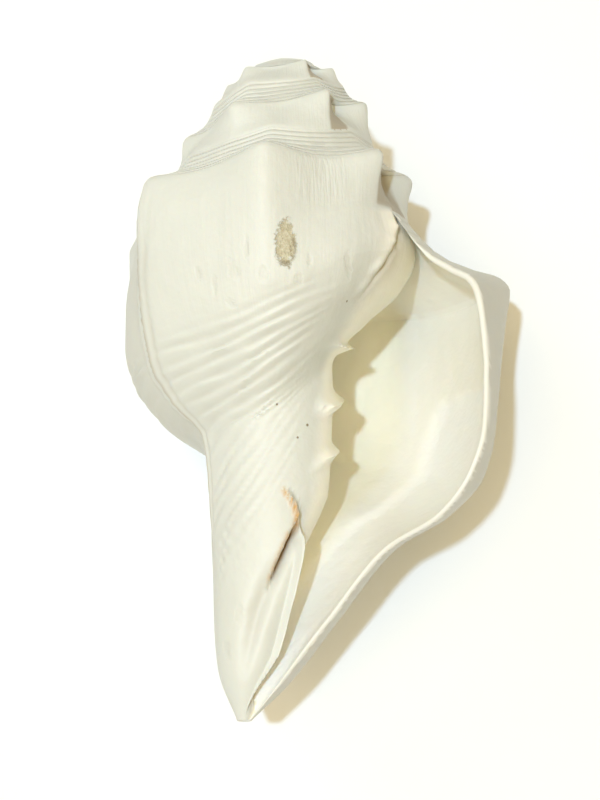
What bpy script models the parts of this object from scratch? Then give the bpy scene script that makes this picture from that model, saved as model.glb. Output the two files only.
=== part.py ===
"""A large white knobbed sea shell, with three folds on its pillar and a long open canal.

The shell grew as one tube wound round an axis, so its surface is worked out the same way.
Age runs back from the lip: 0 at the lip and 1 a whole turn earlier. A station runs down the
outside of the tube: 0 at the seam, 5 at the knobbed shoulder, 7 where the next turn covers
the wall, and 14 at the end of the canal. Every point is found from its age and its station.

The outlines are in millimetres and turns. The finished mesh is in metres, with +Z up.
"""

import math

import bmesh
import bpy
import numpy as np
from mathutils import Matrix, Vector

MM = 0.001

# Turns and the places of the lip and the knobs, in turns and degrees round the axis.
LIP_ANGLE = -30.0
TURNS = 4.5
CAVITY_DEPTH = 0.78
KNOB_ANGLES = ((0, 3.0), (4, 207.0), (5, 261.0), (6, 315.0), (7, 363.0), (11, 550.0),
               (12, 598.0), (13, 657.0), (14, 699.0), (18, 900.0), (19, 946.0), (20, 1010.0),
               (21, 1051.0), (28, 1390.0), (35, 1740.0))
KNOB_SHARPNESS = 1.6
KNOB_FADE = (2.6, 4.2)

# The seam between two turns: age, then radius and height.
SEAM = (
    (0.0, 44.0, 180.0),
    (0.25, 42.5, 187.5),
    (0.5, 41.5, 195.5),
    (0.75, 36.3, 204.0),
    (1.0, 32.3, 209.8),
    (1.25, 30.3, 215.0),
    (1.5, 28.3, 221.5),
    (1.75, 25.2, 228.3),
    (2.0, 22.6, 231.3),
    (2.5, 17.6, 236.6),
    (3.0, 14.0, 240.2),
    (3.5, 11.2, 242.6),
    (4.0, 8.6, 244.4),
    (5.0, 5.2, 246.4),
)

# The shoulder between two knobs: age, then radius and height.
SHOULDER = (
    (0.0, 77.5, 147.6),
    (0.09, 72.5, 156.0),
    (0.25, 66.5, 163.5),
    (0.5, 58.0, 176.5),
    (0.66, 50.3, 187.2),
    (0.81, 45.3, 193.0),
    (0.95, 43.2, 195.3),
    (1.1, 41.0, 198.2),
    (1.35, 38.0, 204.0),
    (1.61, 34.2, 210.2),
    (1.75, 32.6, 215.8),
    (1.89, 30.4, 220.8),
    (2.02, 28.2, 223.0),
    (2.3, 23.5, 230.0),
    (2.58, 20.0, 235.0),
    (2.86, 18.8, 238.0),
    (3.1, 17.2, 239.2),
    (3.5, 14.0, 241.3),
    (4.0, 10.8, 243.6),
    (4.5, 8.4, 245.2),
    (5.0, 6.6, 246.2),
)

# The ramp from the seam out to the shoulder, as shares of the way across and down.
RAMP = ((0.0, 0.0), (0.20, 0.30), (0.41, 0.545), (0.70, 0.77), (0.92, 0.93))
SHOULDER_DROP = 0.04

# The wall, the base and the canal of the last turn: stations 6 to 14 of some ages.
LAST_TURN_WALL = (
    (0.0, ((79.6, 134.0), (81.3, 115.0), (82.8, 95.0), (79.3, 79.5), (68.6, 65.2),
           (49.3, 55.3), (29.6, 32.0), (13.8, 12.5), (2.9, 0.0))),
    (0.09, ((73.0, 140.0), (73.3, 121.0), (73.7, 103.5), (71.8, 87.5), (62.0, 75.0),
            (45.0, 62.5), (29.0, 37.0), (14.5, 13.5), (2.7, 0.0))),
    (0.25, ((67.0, 152.0), (67.5, 134.5), (67.0, 117.5), (62.5, 103.0), (52.5, 90.7),
            (38.9, 77.4), (25.2, 46.8), (12.2, 16.2), (2.5, 0.0))),
    (0.5, ((59.5, 163.5), (61.8, 150.5), (62.8, 136.5), (58.8, 122.5), (48.0, 110.0),
           (30.2, 99.0), (20.4, 57.6), (11.9, 18.0), (2.2, 0.0))),
    (0.75, ((49.0, 177.0), (48.5, 162.0), (45.5, 145.5), (38.9, 130.8), (30.5, 117.5),
            (21.6, 103.5), (17.3, 59.4), (10.6, 18.7), (2.2, 0.0))),
)

# The pillar, from the seam down to the floor of the cavity: stations 8 to 14.
PILLAR = (
    (1.0, ((46.6, 168.5), (42.0, 155.5), (30.2, 142.0), (17.2, 124.0), (20.2, 72.0),
           (11.5, 24.0), (2.2, 0.0))),
    (1.25, ((47.5, 172.5), (40.5, 161.0), (27.0, 150.0), (15.4, 136.5), (14.6, 90.0),
            (13.7, 54.0), (13.0, 32.4))),
    (1.5, ((36.5, 185.4), (28.8, 174.6), (20.0, 163.0), (13.6, 147.6), (12.6, 118.8),
           (12.2, 100.8), (11.9, 82.8))),
    (1.75, ((32.0, 194.4), (24.8, 184.3), (16.8, 173.5), (12.4, 160.2), (11.2, 144.0),
            (10.8, 129.6), (10.8, 118.8))),
    (2.0, ((28.0, 201.5), (20.9, 193.3), (15.1, 183.6), (11.2, 172.8), (9.7, 162.0),
           (9.4, 154.8), (9.4, 147.6))),
)

# The canal leans away from the axis below this height.
LEAN_HEIGHT = 118.8
LEAN = 14.8
LEAN_POWER = 1.1

# How far a knob pushes each station out and up, as shares of the shoulder's radius.
KNOB_OUT = ((0.0, 0.0), (1.0, 0.01), (2.0, 0.025), (3.0, 0.06), (4.0, 0.11), (5.0, 0.13),
            (6.0, 0.09), (7.0, 0.05), (8.0, 0.022), (9.0, 0.008), (10.0, 0.0))
KNOB_UP = ((0.0, 0.0), (1.0, 0.01), (2.0, 0.025), (3.0, 0.05), (4.0, 0.07), (5.0, 0.07),
           (6.0, 0.04), (7.0, 0.015), (8.0, 0.0))
KNOB_INSIDE_SHARE = 0.45
KNOB_UNDER_FADE = (0.85, 1.0)
SEAM_SWING = 0.022
SEAM_CLIMB = 0.045
SEAM_CLIMB_AGE = 0.25

APEX_HEIGHT = 246.2
TIP_DEPTH = 0.3

# Wall thickness, in millimetres.
LIP_WALL = 2.4
WALL = 4.5
LIP_AGE = 0.06
LIP_ROLL = 1.0
TIP_SHARE = 0.25
TIP_HEIGHT = 30.0

# The cavity's skin follows the outside between these stations, then bends in to its floor.
SKIN_TOP = 0.55
SKIN_ROOF_END = 2.5
SKIN_BEND = 8.3
SKIN_END = 13.9
SKIN_FOOT = 0.6
SKIN_SAMPLES = 90
ROOF_STEP = 0.35
FLOOR_STEP = 3.0
FLOOR_STEP_AGE = 0.1

# Spiral cords on the base, and the three folds on the pillar.
CORD_TOP = 8.3
CORD_FULL = 9.1
CORD_FLAT = 12.5
CORD_END = 13.0
CORD_HEIGHT = 0.45
CORD_START = (0.05, 0.22)
CORD_FADE = (0.85, 0.93)
FOLD_STATIONS = (10.62, 11.28, 11.61)
FOLD_RISES = (5.5, 5.8, 4.0)
FOLD_WIDTH = 5.0
FOLD_SHARPNESS = 1.4
FOLD_START = (0.9, 1.0)
FOLD_FADE = (1.3, 1.6)

# The slit beside the pillar and its thin edge: height, angle round the axis, depth or rise.
SLIT_PATH = ((20.0, -95.0, 0.0), (36.0, -86.0, 1.2), (46.0, -76.0, 3.0), (54.0, -69.0, 4.2),
             (61.0, -62.0, 4.2), (67.0, -57.5, 2.0), (72.0, -60.0, 0.0))
SLIT_WIDTH = 2.2
SLIT_START = (0.6, 0.7)
SLIT_FADE = (1.06, 1.18)
SLIT_RADIUS = 17.0
EDGE_PATH = ((3.0, -80.0, 0.0), (9.0, -70.0, 1.0), (15.0, -58.0, 1.8), (26.0, -53.0, 2.4),
             (47.0, -51.0, 3.0), (60.0, -52.5, 3.0), (70.0, -60.0, 1.8), (77.0, -71.0, 0.0))
EDGE_WIDTH = 2.6

# Behind the thin edge the wall of the canal is sunk by this share of its radius.
CANAL_SINK = ((3.0, 0.0), (14.0, 0.32), (44.0, 0.32), (62.0, 0.0))
CANAL_SINK_TURN = 0.04

# The mesh: columns in each turn, closer together by the slit and the folds, and rows.
WIDE_COLUMNS = 34
CLOSE_COLUMNS = 12
CLOSE_FROM = 0.86
UPPER_ROWS = (0.0, 0.9, 1.9, 2.9, 3.9, 4.6, 5.2, 6.0, 7.0)
BASE_ROWS = (7.65,)
CANAL_ROWS = (10.4, 10.55, 10.7, 10.9, 11.15, 11.25, 11.32, 11.42, 11.53, 11.6, 11.67, 11.78,
              11.95, 12.15, 12.35, 12.6, 12.9, 13.2, 13.6, 14.0)
CORD_ROWS = 15
CORD_ROWS_END = 10.25

# The shell lies on its back on three knobs: this way is down before it is laid there.
DOWN = (0.11, 0.994, -0.029)
WORN_FLAT = 0.4

SHELL_COLOUR = (0.89, 0.87, 0.79, 1.0)


def smooth_step(low, high, value):
    """Goes smoothly from 0 below low to 1 above high."""
    share = np.clip((value - low) / (high - low), 0.0, 1.0)
    return share * share * (3.0 - 2.0 * share)


def read_curve(knots, values, at):
    """Reads a smooth curve through the values that never swings past them."""
    knots = np.asarray(knots, float)
    values = np.asarray(values, float)
    step = np.diff(knots)
    extra = (1,) * (values.ndim - 1)
    step_wide = step.reshape(-1, *extra)
    slope = np.diff(values, axis=0) / step_wide
    before, after = slope[:-1], slope[1:]
    weight_a = (2.0 * step[1:] + step[:-1]).reshape(-1, *extra)
    weight_b = (step[1:] + 2.0 * step[:-1]).reshape(-1, *extra)
    same_way = before * after > 0.0
    safe_before = np.where(same_way, before, 1.0)
    safe_after = np.where(same_way, after, 1.0)
    mean = (weight_a + weight_b) / (weight_a / safe_before + weight_b / safe_after)
    inner = np.where(same_way, mean, 0.0)
    tangent = np.concatenate([slope[:1], inner, slope[-1:]], axis=0)
    at = np.asarray(at, float)
    cell = np.clip(np.searchsorted(knots, at, side="right") - 1, 0, len(knots) - 2)
    wide = at.shape + extra
    width = step[cell].reshape(wide)
    share = ((at - knots[cell]) / step[cell]).reshape(wide)
    start, end = values[cell], values[cell + 1]
    return (start * (1 + 2 * share) * (1 - share) ** 2
            + tangent[cell] * width * share * (1 - share) ** 2
            + end * share ** 2 * (3 - 2 * share)
            - tangent[cell + 1] * width * share ** 2 * (1 - share))


def read_table(table, at):
    """Reads a table of (knot, value, ...) rows as a smooth curve."""
    rows = np.array(table, float)
    return read_curve(rows[:, 0], rows[:, 1:], at)


def angle_of(age):
    """The angle round the axis, in degrees, where the shell is this old."""
    return LIP_ANGLE + 360.0 * age


def knob_wave(age):
    """1 on the crest of a knob and 0 between knobs, fading out towards the apex."""
    numbers, angles = np.array(KNOB_ANGLES).T
    angle = angle_of(age)
    before = (angle - angles[0]) / (angles[1] - angles[0]) * numbers[1]
    count = np.where(angle < angles[0], before, read_curve(angles, numbers, angle))
    wave = ((1.0 + np.cos(2.0 * math.pi * count)) / 2.0) ** KNOB_SHARPNESS
    return wave * (1.0 - smooth_step(*KNOB_FADE, age))


def seam(age):
    """Radius and height of the seam, which climbs at each knob and swings round the last ones."""
    point = read_table(SEAM, age)
    swing = SEAM_SWING * point[:, 0] * knob_wave(age + 1.0)
    climb = SEAM_CLIMB * shoulder(age)[:, 0] * knob_wave(age)
    climb = climb * smooth_step(0.0, SEAM_CLIMB_AGE, age)
    return point + np.stack([swing, climb], axis=1)


def shoulder(age):
    """Radius and height of the shoulder between knobs."""
    return read_table(SHOULDER, age)


def lower_stations(age):
    """Stations 6 to 14 of the last turn, and 8 to 14 of the pillar behind it."""
    last_turn = np.array([wall for _, wall in LAST_TURN_WALL], float)
    pillar_ages = np.array([row[0] for row in PILLAR])
    pillar = np.array([wall for _, wall in PILLAR], float)
    tops = read_table(SEAM, pillar_ages - 1.0)
    middles = (tops + read_table(SHOULDER, pillar_ages)) / 2.0
    pillar = np.concatenate([middles[:, None], tops[:, None], pillar], axis=1)
    knots = [row[0] for row in LAST_TURN_WALL] + list(pillar_ages)
    values = np.concatenate([last_turn, pillar], axis=0)
    return read_curve(knots, values, np.minimum(age, knots[-1]))


def station_points(age, knob_share=1.0):
    """The 15 stations of each column, as an array of (radius, height)."""
    top = seam(age)
    corner = shoulder(age)
    drop = np.stack([np.zeros(len(age)), SHOULDER_DROP * corner[:, 0]], axis=1)
    ramp = [top + (corner - top) * np.array(share) for share in RAMP]
    points = np.stack(ramp + [corner - drop], axis=1)
    points = np.concatenate([points, lower_stations(age)], axis=1)
    older = age >= 1.0
    points[older, 7] = seam(age[older] - 1.0)
    points[older, 6] = (points[older, 5] + points[older, 7]) / 2.0
    stations = np.arange(15.0)
    under = smooth_step(*KNOB_UNDER_FADE, age)[:, None]
    fade = 1.0 - smooth_step(5.0, 7.0, stations) * under
    strength = knob_share * corner[:, 0] * knob_wave(age)
    points[:, :, 0] += np.interp(stations, *zip(*KNOB_OUT)) * fade * strength[:, None]
    points[:, :, 1] += np.interp(stations, *zip(*KNOB_UP)) * fade * strength[:, None]
    return points


def outline(age, station, knob_share=1.0):
    """Radius and height for every column's age and every row's station."""
    age = np.asarray(age, float)
    station = np.broadcast_to(np.asarray(station, float), (len(age), np.shape(station)[-1]))
    result = np.empty(station.shape + (2,))
    for column, points in enumerate(station_points(age, knob_share)):
        length = np.concatenate([[0.0], np.cumsum(np.linalg.norm(np.diff(points, axis=0), axis=1))])
        place = np.interp(station[column], np.arange(15.0), length)
        result[column] = read_curve(length, points, place)
    return result


def cord_rise(age, station):
    """The low spiral cords of the base, which stop before the pillar and behind the lip."""
    edges = cord_edges()
    wave = -np.cos(math.pi * np.interp(station, edges, np.arange(len(edges))))
    across = smooth_step(CORD_TOP, CORD_FULL, station)
    across = across * (1.0 - smooth_step(CORD_FLAT, CORD_END, station))
    along = smooth_step(*CORD_START, age) * (1.0 - smooth_step(*CORD_FADE, age))
    return CORD_HEIGHT * wave * across * along


def fold_rise(age, height):
    """The three sharp folds that wind round the pillar."""
    middles = outline(age, FOLD_STATIONS)[..., 1]
    rise = np.zeros(height.shape)
    for fold, most in enumerate(FOLD_RISES):
        away = np.abs(height - middles[:, fold:fold + 1]) / FOLD_WIDTH
        rise = rise + most * np.clip(1.0 - away, 0.0, 1.0) ** FOLD_SHARPNESS
    along = smooth_step(*FOLD_START, age) * (1.0 - smooth_step(*FOLD_FADE, age))
    return rise * along[:, None]


def beside_path(angle, height, path, width):
    """The height of a ridge that follows a path on the canal, at each point."""
    heights, angles, strengths = np.array(path).T
    strength = np.interp(height, heights, strengths, left=0.0, right=0.0)
    away = np.radians(angle - np.interp(height, heights, angles)) * SLIT_RADIUS / width
    return strength * np.exp(-away ** 2)


def slit_rise(angle, height, radius):
    """The slit beside the pillar, its thin edge, and the sunk wall of the canal behind that."""
    slit = beside_path(angle, height, SLIT_PATH, SLIT_WIDTH)
    edge = beside_path(angle, height, EDGE_PATH, EDGE_WIDTH)
    heights, angles, _ = np.array(EDGE_PATH).T
    behind = (angle - np.interp(height, heights, angles)) / 360.0
    sink = np.interp(height, *zip(*CANAL_SINK)) * smooth_step(0.0, CANAL_SINK_TURN, behind)
    return edge - slit - sink * radius


def outer_surface(age, station):
    """Radius and height of the outside, with its cords, folds and slit."""
    age = np.asarray(age, float)
    flat = outline(age, station)
    station = np.broadcast_to(np.asarray(station, float), flat.shape[:2])
    column = age[:, None]
    rise = cord_rise(column, station) + fold_rise(age, flat[..., 1])
    last_turn = smooth_step(*SLIT_START, column) * (1.0 - smooth_step(*SLIT_FADE, column))
    angle = angle_of(column) - 360.0
    rise = rise + slit_rise(angle, flat[..., 1], flat[..., 0]) * last_turn
    flat[..., 0] += rise
    return flat


def inner_surface(age, rows):
    """The skin of the cavity, set in from the outside, from the seam to the pillar."""
    age = np.asarray(age, float)
    fine = np.linspace(SKIN_TOP / 2.0, 14.0, SKIN_SAMPLES)
    curve = outline(age, fine, KNOB_INSIDE_SHARE)
    wall = LIP_WALL + (WALL - LIP_WALL) * smooth_step(0.0, LIP_AGE, age)
    inner = np.empty((len(age), len(rows), 2))
    roof, floor = cavity_corners(age)
    for column in range(len(age)):
        line = curve[column]
        run = np.gradient(line, axis=0)
        run = run / np.linalg.norm(run, axis=1)[:, None]
        inward = np.stack([run[:, 1], -run[:, 0]], axis=1)
        above_tip = smooth_step(0.0, TIP_HEIGHT, line[:, 1] - line[-1, 1])
        thickness = wall[column] * (TIP_SHARE + (1.0 - TIP_SHARE) * above_tip)
        set_in = line + inward * thickness[:, None]
        step_up = FLOOR_STEP * smooth_step(0.0, FLOOR_STEP_AGE, age[column])
        foot_height = floor[column, 1] + step_up
        foot = min(SKIN_END, np.interp(-foot_height, -line[:, 1], fine))
        base = np.clip((rows - SKIN_BEND) / (14.0 - SKIN_BEND), 0.0, 1.0)
        station = np.where(rows > SKIN_BEND, SKIN_BEND + base * (foot - SKIN_BEND), rows)
        station = np.maximum(station, SKIN_TOP)
        skin = np.stack([np.interp(station, fine, set_in[:, axis]) for axis in (0, 1)], axis=1)
        top_pull = (1.0 - smooth_step(SKIN_TOP, SKIN_ROOF_END, station))[:, None]
        foot_pull = smooth_step(SKIN_FOOT, 1.0, base)[:, None]
        skin = skin + (roof[column] - skin[0]) * top_pull
        inner[column] = skin + (floor[column] - skin[-1]) * foot_pull
    return inner


def roof_station(age):
    """The station on the pillar's side where the cavity's roof begins."""
    return 7.0 + ROOF_STEP * smooth_step(0.0, LIP_AGE, age)


def cavity_corners(age):
    """Where the cavity's skin meets the pillar side, at its roof and at its floor."""
    ends = np.stack([roof_station(age), np.full(len(age), 14.0)], axis=1)
    ends = outer_surface(age + 1.0, ends)
    return ends[:, 0], ends[:, 1]


def place(age, flat):
    """Turns (radius, height) into points round the axis, with the lean of the canal."""
    angle = np.radians(angle_of(np.asarray(age, float)))[:, None]
    radius, height = flat[..., 0], flat[..., 1]
    below = np.clip(1.0 - height / LEAN_HEIGHT, 0.0, None)
    lean = -LEAN * below ** LEAN_POWER
    return np.stack([radius * np.cos(angle) + lean, radius * np.sin(angle), height], axis=-1)


def cord_edges():
    """The stations of the rows that carry the cords, trough and crest in turn."""
    upper = np.linspace(CORD_TOP, CORD_ROWS_END, CORD_ROWS)
    return np.concatenate([upper, CANAL_ROWS])


def column_ages():
    """The ages of all the columns from the lip to the apex, the same in each turn."""
    wide = np.linspace(0.0, CLOSE_FROM, WIDE_COLUMNS, endpoint=False)
    close = np.linspace(CLOSE_FROM, 1.0, CLOSE_COLUMNS, endpoint=False)
    turn = np.concatenate([wide, close])
    ages = np.concatenate([turn + whole for whole in range(math.ceil(TURNS) + 1)])
    return ages[ages <= TURNS], len(turn)


class Surface:
    """Collects the points and faces of the shell."""

    def __init__(self):
        self.mesh = bmesh.new()

    def add_points(self, points):
        """Adds a grid of points and gives back the grid of its vertices."""
        grid = np.empty(points.shape[:2], dtype=object)
        for row in range(points.shape[0]):
            for column in range(points.shape[1]):
                grid[row, column] = self.mesh.verts.new(points[row, column] * MM)
        return grid

    def add_face(self, *corners):
        """Adds one face, with a corner that comes twice in a row used once."""
        kept = []
        for corner in corners:
            if corner not in kept:
                kept.append(corner)
        if len(kept) > 2:
            self.mesh.faces.new(kept)

    def add_grid(self, grid):
        """Covers a grid of vertices with four-sided faces."""
        for row in range(grid.shape[0] - 1):
            for column in range(grid.shape[1] - 1):
                self.add_face(grid[row, column], grid[row + 1, column],
                              grid[row + 1, column + 1], grid[row, column + 1])

    def join_halved(self, fine, coarse):
        """Joins a line of vertices to one with half as many steps."""
        for step in range(len(coarse) - 1):
            self.add_face(fine[2 * step], fine[2 * step + 1], fine[2 * step + 2],
                          coarse[step + 1], coarse[step])

    def close_ring(self, ring, middle):
        """Closes a ring of vertices with a fan round a middle point."""
        centre = self.mesh.verts.new(np.asarray(middle) * MM)
        for first, second in zip(ring, ring[1:] + ring[:1]):
            self.add_face(first, second, centre)


def build_surface():
    """Builds the closed surface: outside, spire, pillar, cavity, lip and ends."""
    shell = Surface()
    ages, per_turn = column_ages()
    rows = np.concatenate([UPPER_ROWS, BASE_ROWS, cord_edges()])
    seam_row = len(UPPER_ROWS) - 1

    outside_points = place(ages[:per_turn + 1], outer_surface(ages[:per_turn + 1], rows))
    outside = shell.add_points(outside_points[:per_turn])
    spire_rows = rows[:seam_row]
    spire_points = place(ages[per_turn:], outer_surface(ages[per_turn:], spire_rows))
    spire = shell.add_points(spire_points)
    pillar_edge = shell.add_points(outside_points[per_turn:, seam_row + 1:])[0]
    tops = np.concatenate([outside[:, 0], spire[:, 0]])
    spire = np.concatenate([spire, tops[:len(spire)].reshape(-1, 1)], axis=1)
    last_column = np.concatenate([spire[0], pillar_edge])
    shell.add_grid(np.concatenate([outside, last_column.reshape(1, -1)], axis=0))
    shell.add_grid(spire)

    depth = int(np.searchsorted(ages[:per_turn], CAVITY_DEPTH))
    inside_ages = ages[1:depth]
    pillar_rows = rows[seam_row::2]
    pillar_stations = np.tile(pillar_rows, (len(inside_ages), 1))
    pillar_stations[:, 0] = roof_station(inside_ages)
    pillar_flat = outer_surface(inside_ages + 1.0, pillar_stations)
    pillar = shell.add_points(place(inside_ages + 1.0, pillar_flat))
    shell.join_halved(last_column[seam_row:], pillar[0])
    shell.add_grid(pillar)

    skin_flat = inner_surface(ages[:depth], rows[::2])
    skin_points = place(ages[:depth], skin_flat)[:, 1:-1]
    skin = shell.add_points(skin_points)
    roof = np.concatenate([[outside[0, 0]], pillar[:, 0]]).reshape(-1, 1)
    floor = np.concatenate([[last_column[-1]], pillar[:, -1]]).reshape(-1, 1)
    skin = np.concatenate([roof, skin, floor], axis=1)
    shell.add_grid(skin)

    outer_edge = outside[0]
    outer_line = outside_points[0]
    halves = np.arange(len(rows)) / 2.0
    inner_line = place(ages[:1], skin_flat[:1])[0]
    inner_line = np.stack([np.interp(halves, np.arange(len(inner_line)), inner_line[:, axis])
                           for axis in range(3)], axis=1)
    lip_angle = math.radians(LIP_ANGLE)
    forward = np.array([math.sin(lip_angle), -math.cos(lip_angle), 0.0])
    thin = np.linalg.norm(outer_line - inner_line, axis=1)[:, None] / LIP_WALL
    middle_points = (outer_line + inner_line) / 2.0 + forward * LIP_ROLL * np.clip(thin, 0, 1)
    middle = shell.add_points(middle_points[None, 1:-1])[0]
    middle = np.concatenate([outer_edge[:1], middle, outer_edge[-1:]])
    for step in range(len(outer_edge) - 1):
        shell.add_face(outer_edge[step], outer_edge[step + 1], middle[step + 1], middle[step])
    shell.join_halved(middle, skin[0])

    tip_ring = list(outside[:, -1]) + [last_column[-1]]
    shell.close_ring(tip_ring, (-LEAN, 0.0, -TIP_DEPTH))
    apex_ring = list(spire[-per_turn - 1:, 0]) + list(spire[-1, 1:-1])
    shell.close_ring(apex_ring, (0.0, 0.0, APEX_HEIGHT))
    end_ring = list(pillar[-1]) + list(skin[-1, 1:-1][::-1])
    end_middle = np.mean([vert.co for vert in end_ring], axis=0) / MM
    shell.close_ring(end_ring, end_middle)
    return shell.mesh


def rest_turn():
    """The turn that brings DOWN to -Z and keeps the apex towards +Y."""
    up = -Vector(DOWN).normalized()
    across = Vector((0.0, 0.0, 1.0)).cross(up).normalized()
    return Matrix((across, up.cross(across), up))


def lay_down(mesh):
    """Lays the shell on its back, with its opening up, on small flats worn on its knobs."""
    bmesh.ops.rotate(mesh, verts=mesh.verts, cent=(0, 0, 0), matrix=rest_turn())
    corners = np.array([vert.co for vert in mesh.verts])
    low, high = corners.min(axis=0), corners.max(axis=0)
    shift = (-(low[0] + high[0]) / 2.0, -(low[1] + high[1]) / 2.0, -low[2] - WORN_FLAT * MM)
    bmesh.ops.translate(mesh, verts=mesh.verts, vec=shift)
    cut = bmesh.ops.bisect_plane(mesh, geom=mesh.verts[:] + mesh.edges[:] + mesh.faces[:],
                                 plane_co=(0, 0, 0), plane_no=(0, 0, 1), clear_inner=True)
    edges = [item for item in cut["geom_cut"] if isinstance(item, bmesh.types.BMEdge)]
    bmesh.ops.holes_fill(mesh, edges=edges)


def shell_material():
    """A white, slightly glossy surface like unglazed porcelain."""
    material = bpy.data.materials.new("shell_white")
    material.use_nodes = True
    shader = material.node_tree.nodes["Principled BSDF"]
    shader.inputs["Base Color"].default_value = SHELL_COLOUR
    shader.inputs["Roughness"].default_value = 0.38
    material.diffuse_color = SHELL_COLOUR
    return material


def make_shell(laid_down=True):
    """Makes the shell's object from its closed surface."""
    surface = build_surface()
    bmesh.ops.triangulate(surface, faces=surface.faces)
    if laid_down:
        lay_down(surface)
    bmesh.ops.recalc_face_normals(surface, faces=surface.faces)
    bmesh.ops.triangulate(surface, faces=surface.faces)
    mesh = bpy.data.meshes.new("shell")
    surface.to_mesh(mesh)
    surface.free()
    mesh.materials.append(shell_material())
    mesh.shade_smooth()
    shell = bpy.data.objects.new("shell", mesh)
    bpy.context.scene.collection.objects.link(shell)
    return shell


def main():
    for thing in list(bpy.data.objects):
        bpy.data.objects.remove(thing)
    make_shell()


main()
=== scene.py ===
# %% [markdown]
# # A large white knobbed sea shell
#
# This notebook gives a plain solid of a sea shell its looks. The real thing is one piece: a tube of white,
# chalky lime that a snail laid down at its lip, turn after turn, while the tube wound round an axis and
# grew wider. Nothing on it was assembled, so we also make one closed mesh. We work in steps: the rule by
# which the shell grows, its knobs, threads and cords, the folds on its pillar, the skin of its opening,
# and last the finish of its surface, the light and the camera.

# %% Load the frame
import math

import bpy
import numpy as np
from mathutils import Matrix, Vector


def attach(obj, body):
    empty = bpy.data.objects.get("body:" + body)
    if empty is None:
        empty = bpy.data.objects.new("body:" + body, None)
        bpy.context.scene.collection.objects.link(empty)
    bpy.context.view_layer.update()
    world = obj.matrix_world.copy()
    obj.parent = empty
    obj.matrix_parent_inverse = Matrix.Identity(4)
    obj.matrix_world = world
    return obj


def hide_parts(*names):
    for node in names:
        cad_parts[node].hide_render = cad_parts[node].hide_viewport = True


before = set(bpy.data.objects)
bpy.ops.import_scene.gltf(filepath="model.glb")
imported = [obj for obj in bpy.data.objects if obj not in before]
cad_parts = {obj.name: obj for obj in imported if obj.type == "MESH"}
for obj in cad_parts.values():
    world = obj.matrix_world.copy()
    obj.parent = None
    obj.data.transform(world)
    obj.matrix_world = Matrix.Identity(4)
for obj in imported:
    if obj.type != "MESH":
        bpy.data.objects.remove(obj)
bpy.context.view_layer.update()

print("nodes:", sorted(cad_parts))

# %% [markdown]
# ## Age and station
#
# A shell like this is easiest to draw with two numbers that follow its growth. *Age* runs back from the
# lip: 0 at the lip, 1 a whole turn earlier. *Station* runs down the outside of the tube: 0 at the seam
# with the turn above, 5 at the knobbed shoulder, 7 where the next turn covers the wall, and 14 at the end
# of the canal. Every outline below is a short table of radius and height in millimetres, read as a smooth
# curve that never swings past its points. A Screw modifier could wind a profile too, but its profile
# can't change on the way, and this one changes all the time.

# %% Curves
MM = 0.001
LIP_ANGLE = -30.0
TURNS = 4.5


def smooth_step(low, high, value):
    """Goes smoothly from 0 below low to 1 above high."""
    share = np.clip((value - low) / (high - low), 0.0, 1.0)
    return share * share * (3.0 - 2.0 * share)


def between(value, start, end):
    """1 between two soft edges, each a pair of low and high, and 0 outside them."""
    return smooth_step(*start, value) * (1.0 - smooth_step(*end, value))


def hump(away, width):
    """1 at 0, falling off smoothly to both sides."""
    return np.exp(-(away / width) ** 2)


def read_curve(knots, values, at):
    """Reads a smooth curve through the values that never swings past them."""
    knots = np.asarray(knots, float)
    values = np.asarray(values, float)
    step = np.diff(knots)
    extra = (1,) * (values.ndim - 1)
    slope = np.diff(values, axis=0) / step.reshape(-1, *extra)
    before, after = slope[:-1], slope[1:]
    weight_a = (2.0 * step[1:] + step[:-1]).reshape(-1, *extra)
    weight_b = (step[1:] + 2.0 * step[:-1]).reshape(-1, *extra)
    same_way = before * after > 0.0
    safe_before = np.where(same_way, before, 1.0)
    safe_after = np.where(same_way, after, 1.0)
    mean = (weight_a + weight_b) / (weight_a / safe_before + weight_b / safe_after)
    tangent = np.concatenate([slope[:1], np.where(same_way, mean, 0.0), slope[-1:]], axis=0)
    at = np.asarray(at, float)
    cell = np.clip(np.searchsorted(knots, at, side="right") - 1, 0, len(knots) - 2)
    wide = at.shape + extra
    width = step[cell].reshape(wide)
    share = ((at - knots[cell]) / step[cell]).reshape(wide)
    start, end = values[cell], values[cell + 1]
    return (start * (1 + 2 * share) * (1 - share) ** 2
            + tangent[cell] * width * share * (1 - share) ** 2
            + end * share ** 2 * (3 - 2 * share)
            - tangent[cell + 1] * width * share ** 2 * (1 - share))


def read_table(table, at):
    """Reads a table of (knot, value, ...) rows as a smooth curve."""
    rows = np.array(table, float)
    return read_curve(rows[:, 0], rows[:, 1:], at)


def angle_of(age):
    """The angle round the axis, in degrees, where the shell is this old."""
    return LIP_ANGLE + 360.0 * age


def age_past(age, station, line):
    """How much older a place is than a line down the shell, drawn by points of (station, age)."""
    stations, ages = np.array(line).T
    return age - np.interp(station, stations, ages)


print("a curve through 0, 1, 1 stays level at its end:", read_curve([0, 1, 2], [0.0, 1.0, 1.0], [1.5]))

# %% [markdown]
# ## Seam, shoulder and knobs
#
# Two lines carry the spire: the seam, where one turn meets the next, and the shoulder, where the sloping
# ramp turns down into the wall. The shoulder bears about seven blunt knobs in each turn. Seen from the
# apex, the wall is nearly a polygon: flat between two knobs, with a rounded corner at each knob. So the
# knob's wave is a parabola between corners and not a sine, which would look like a wavy tube.

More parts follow.
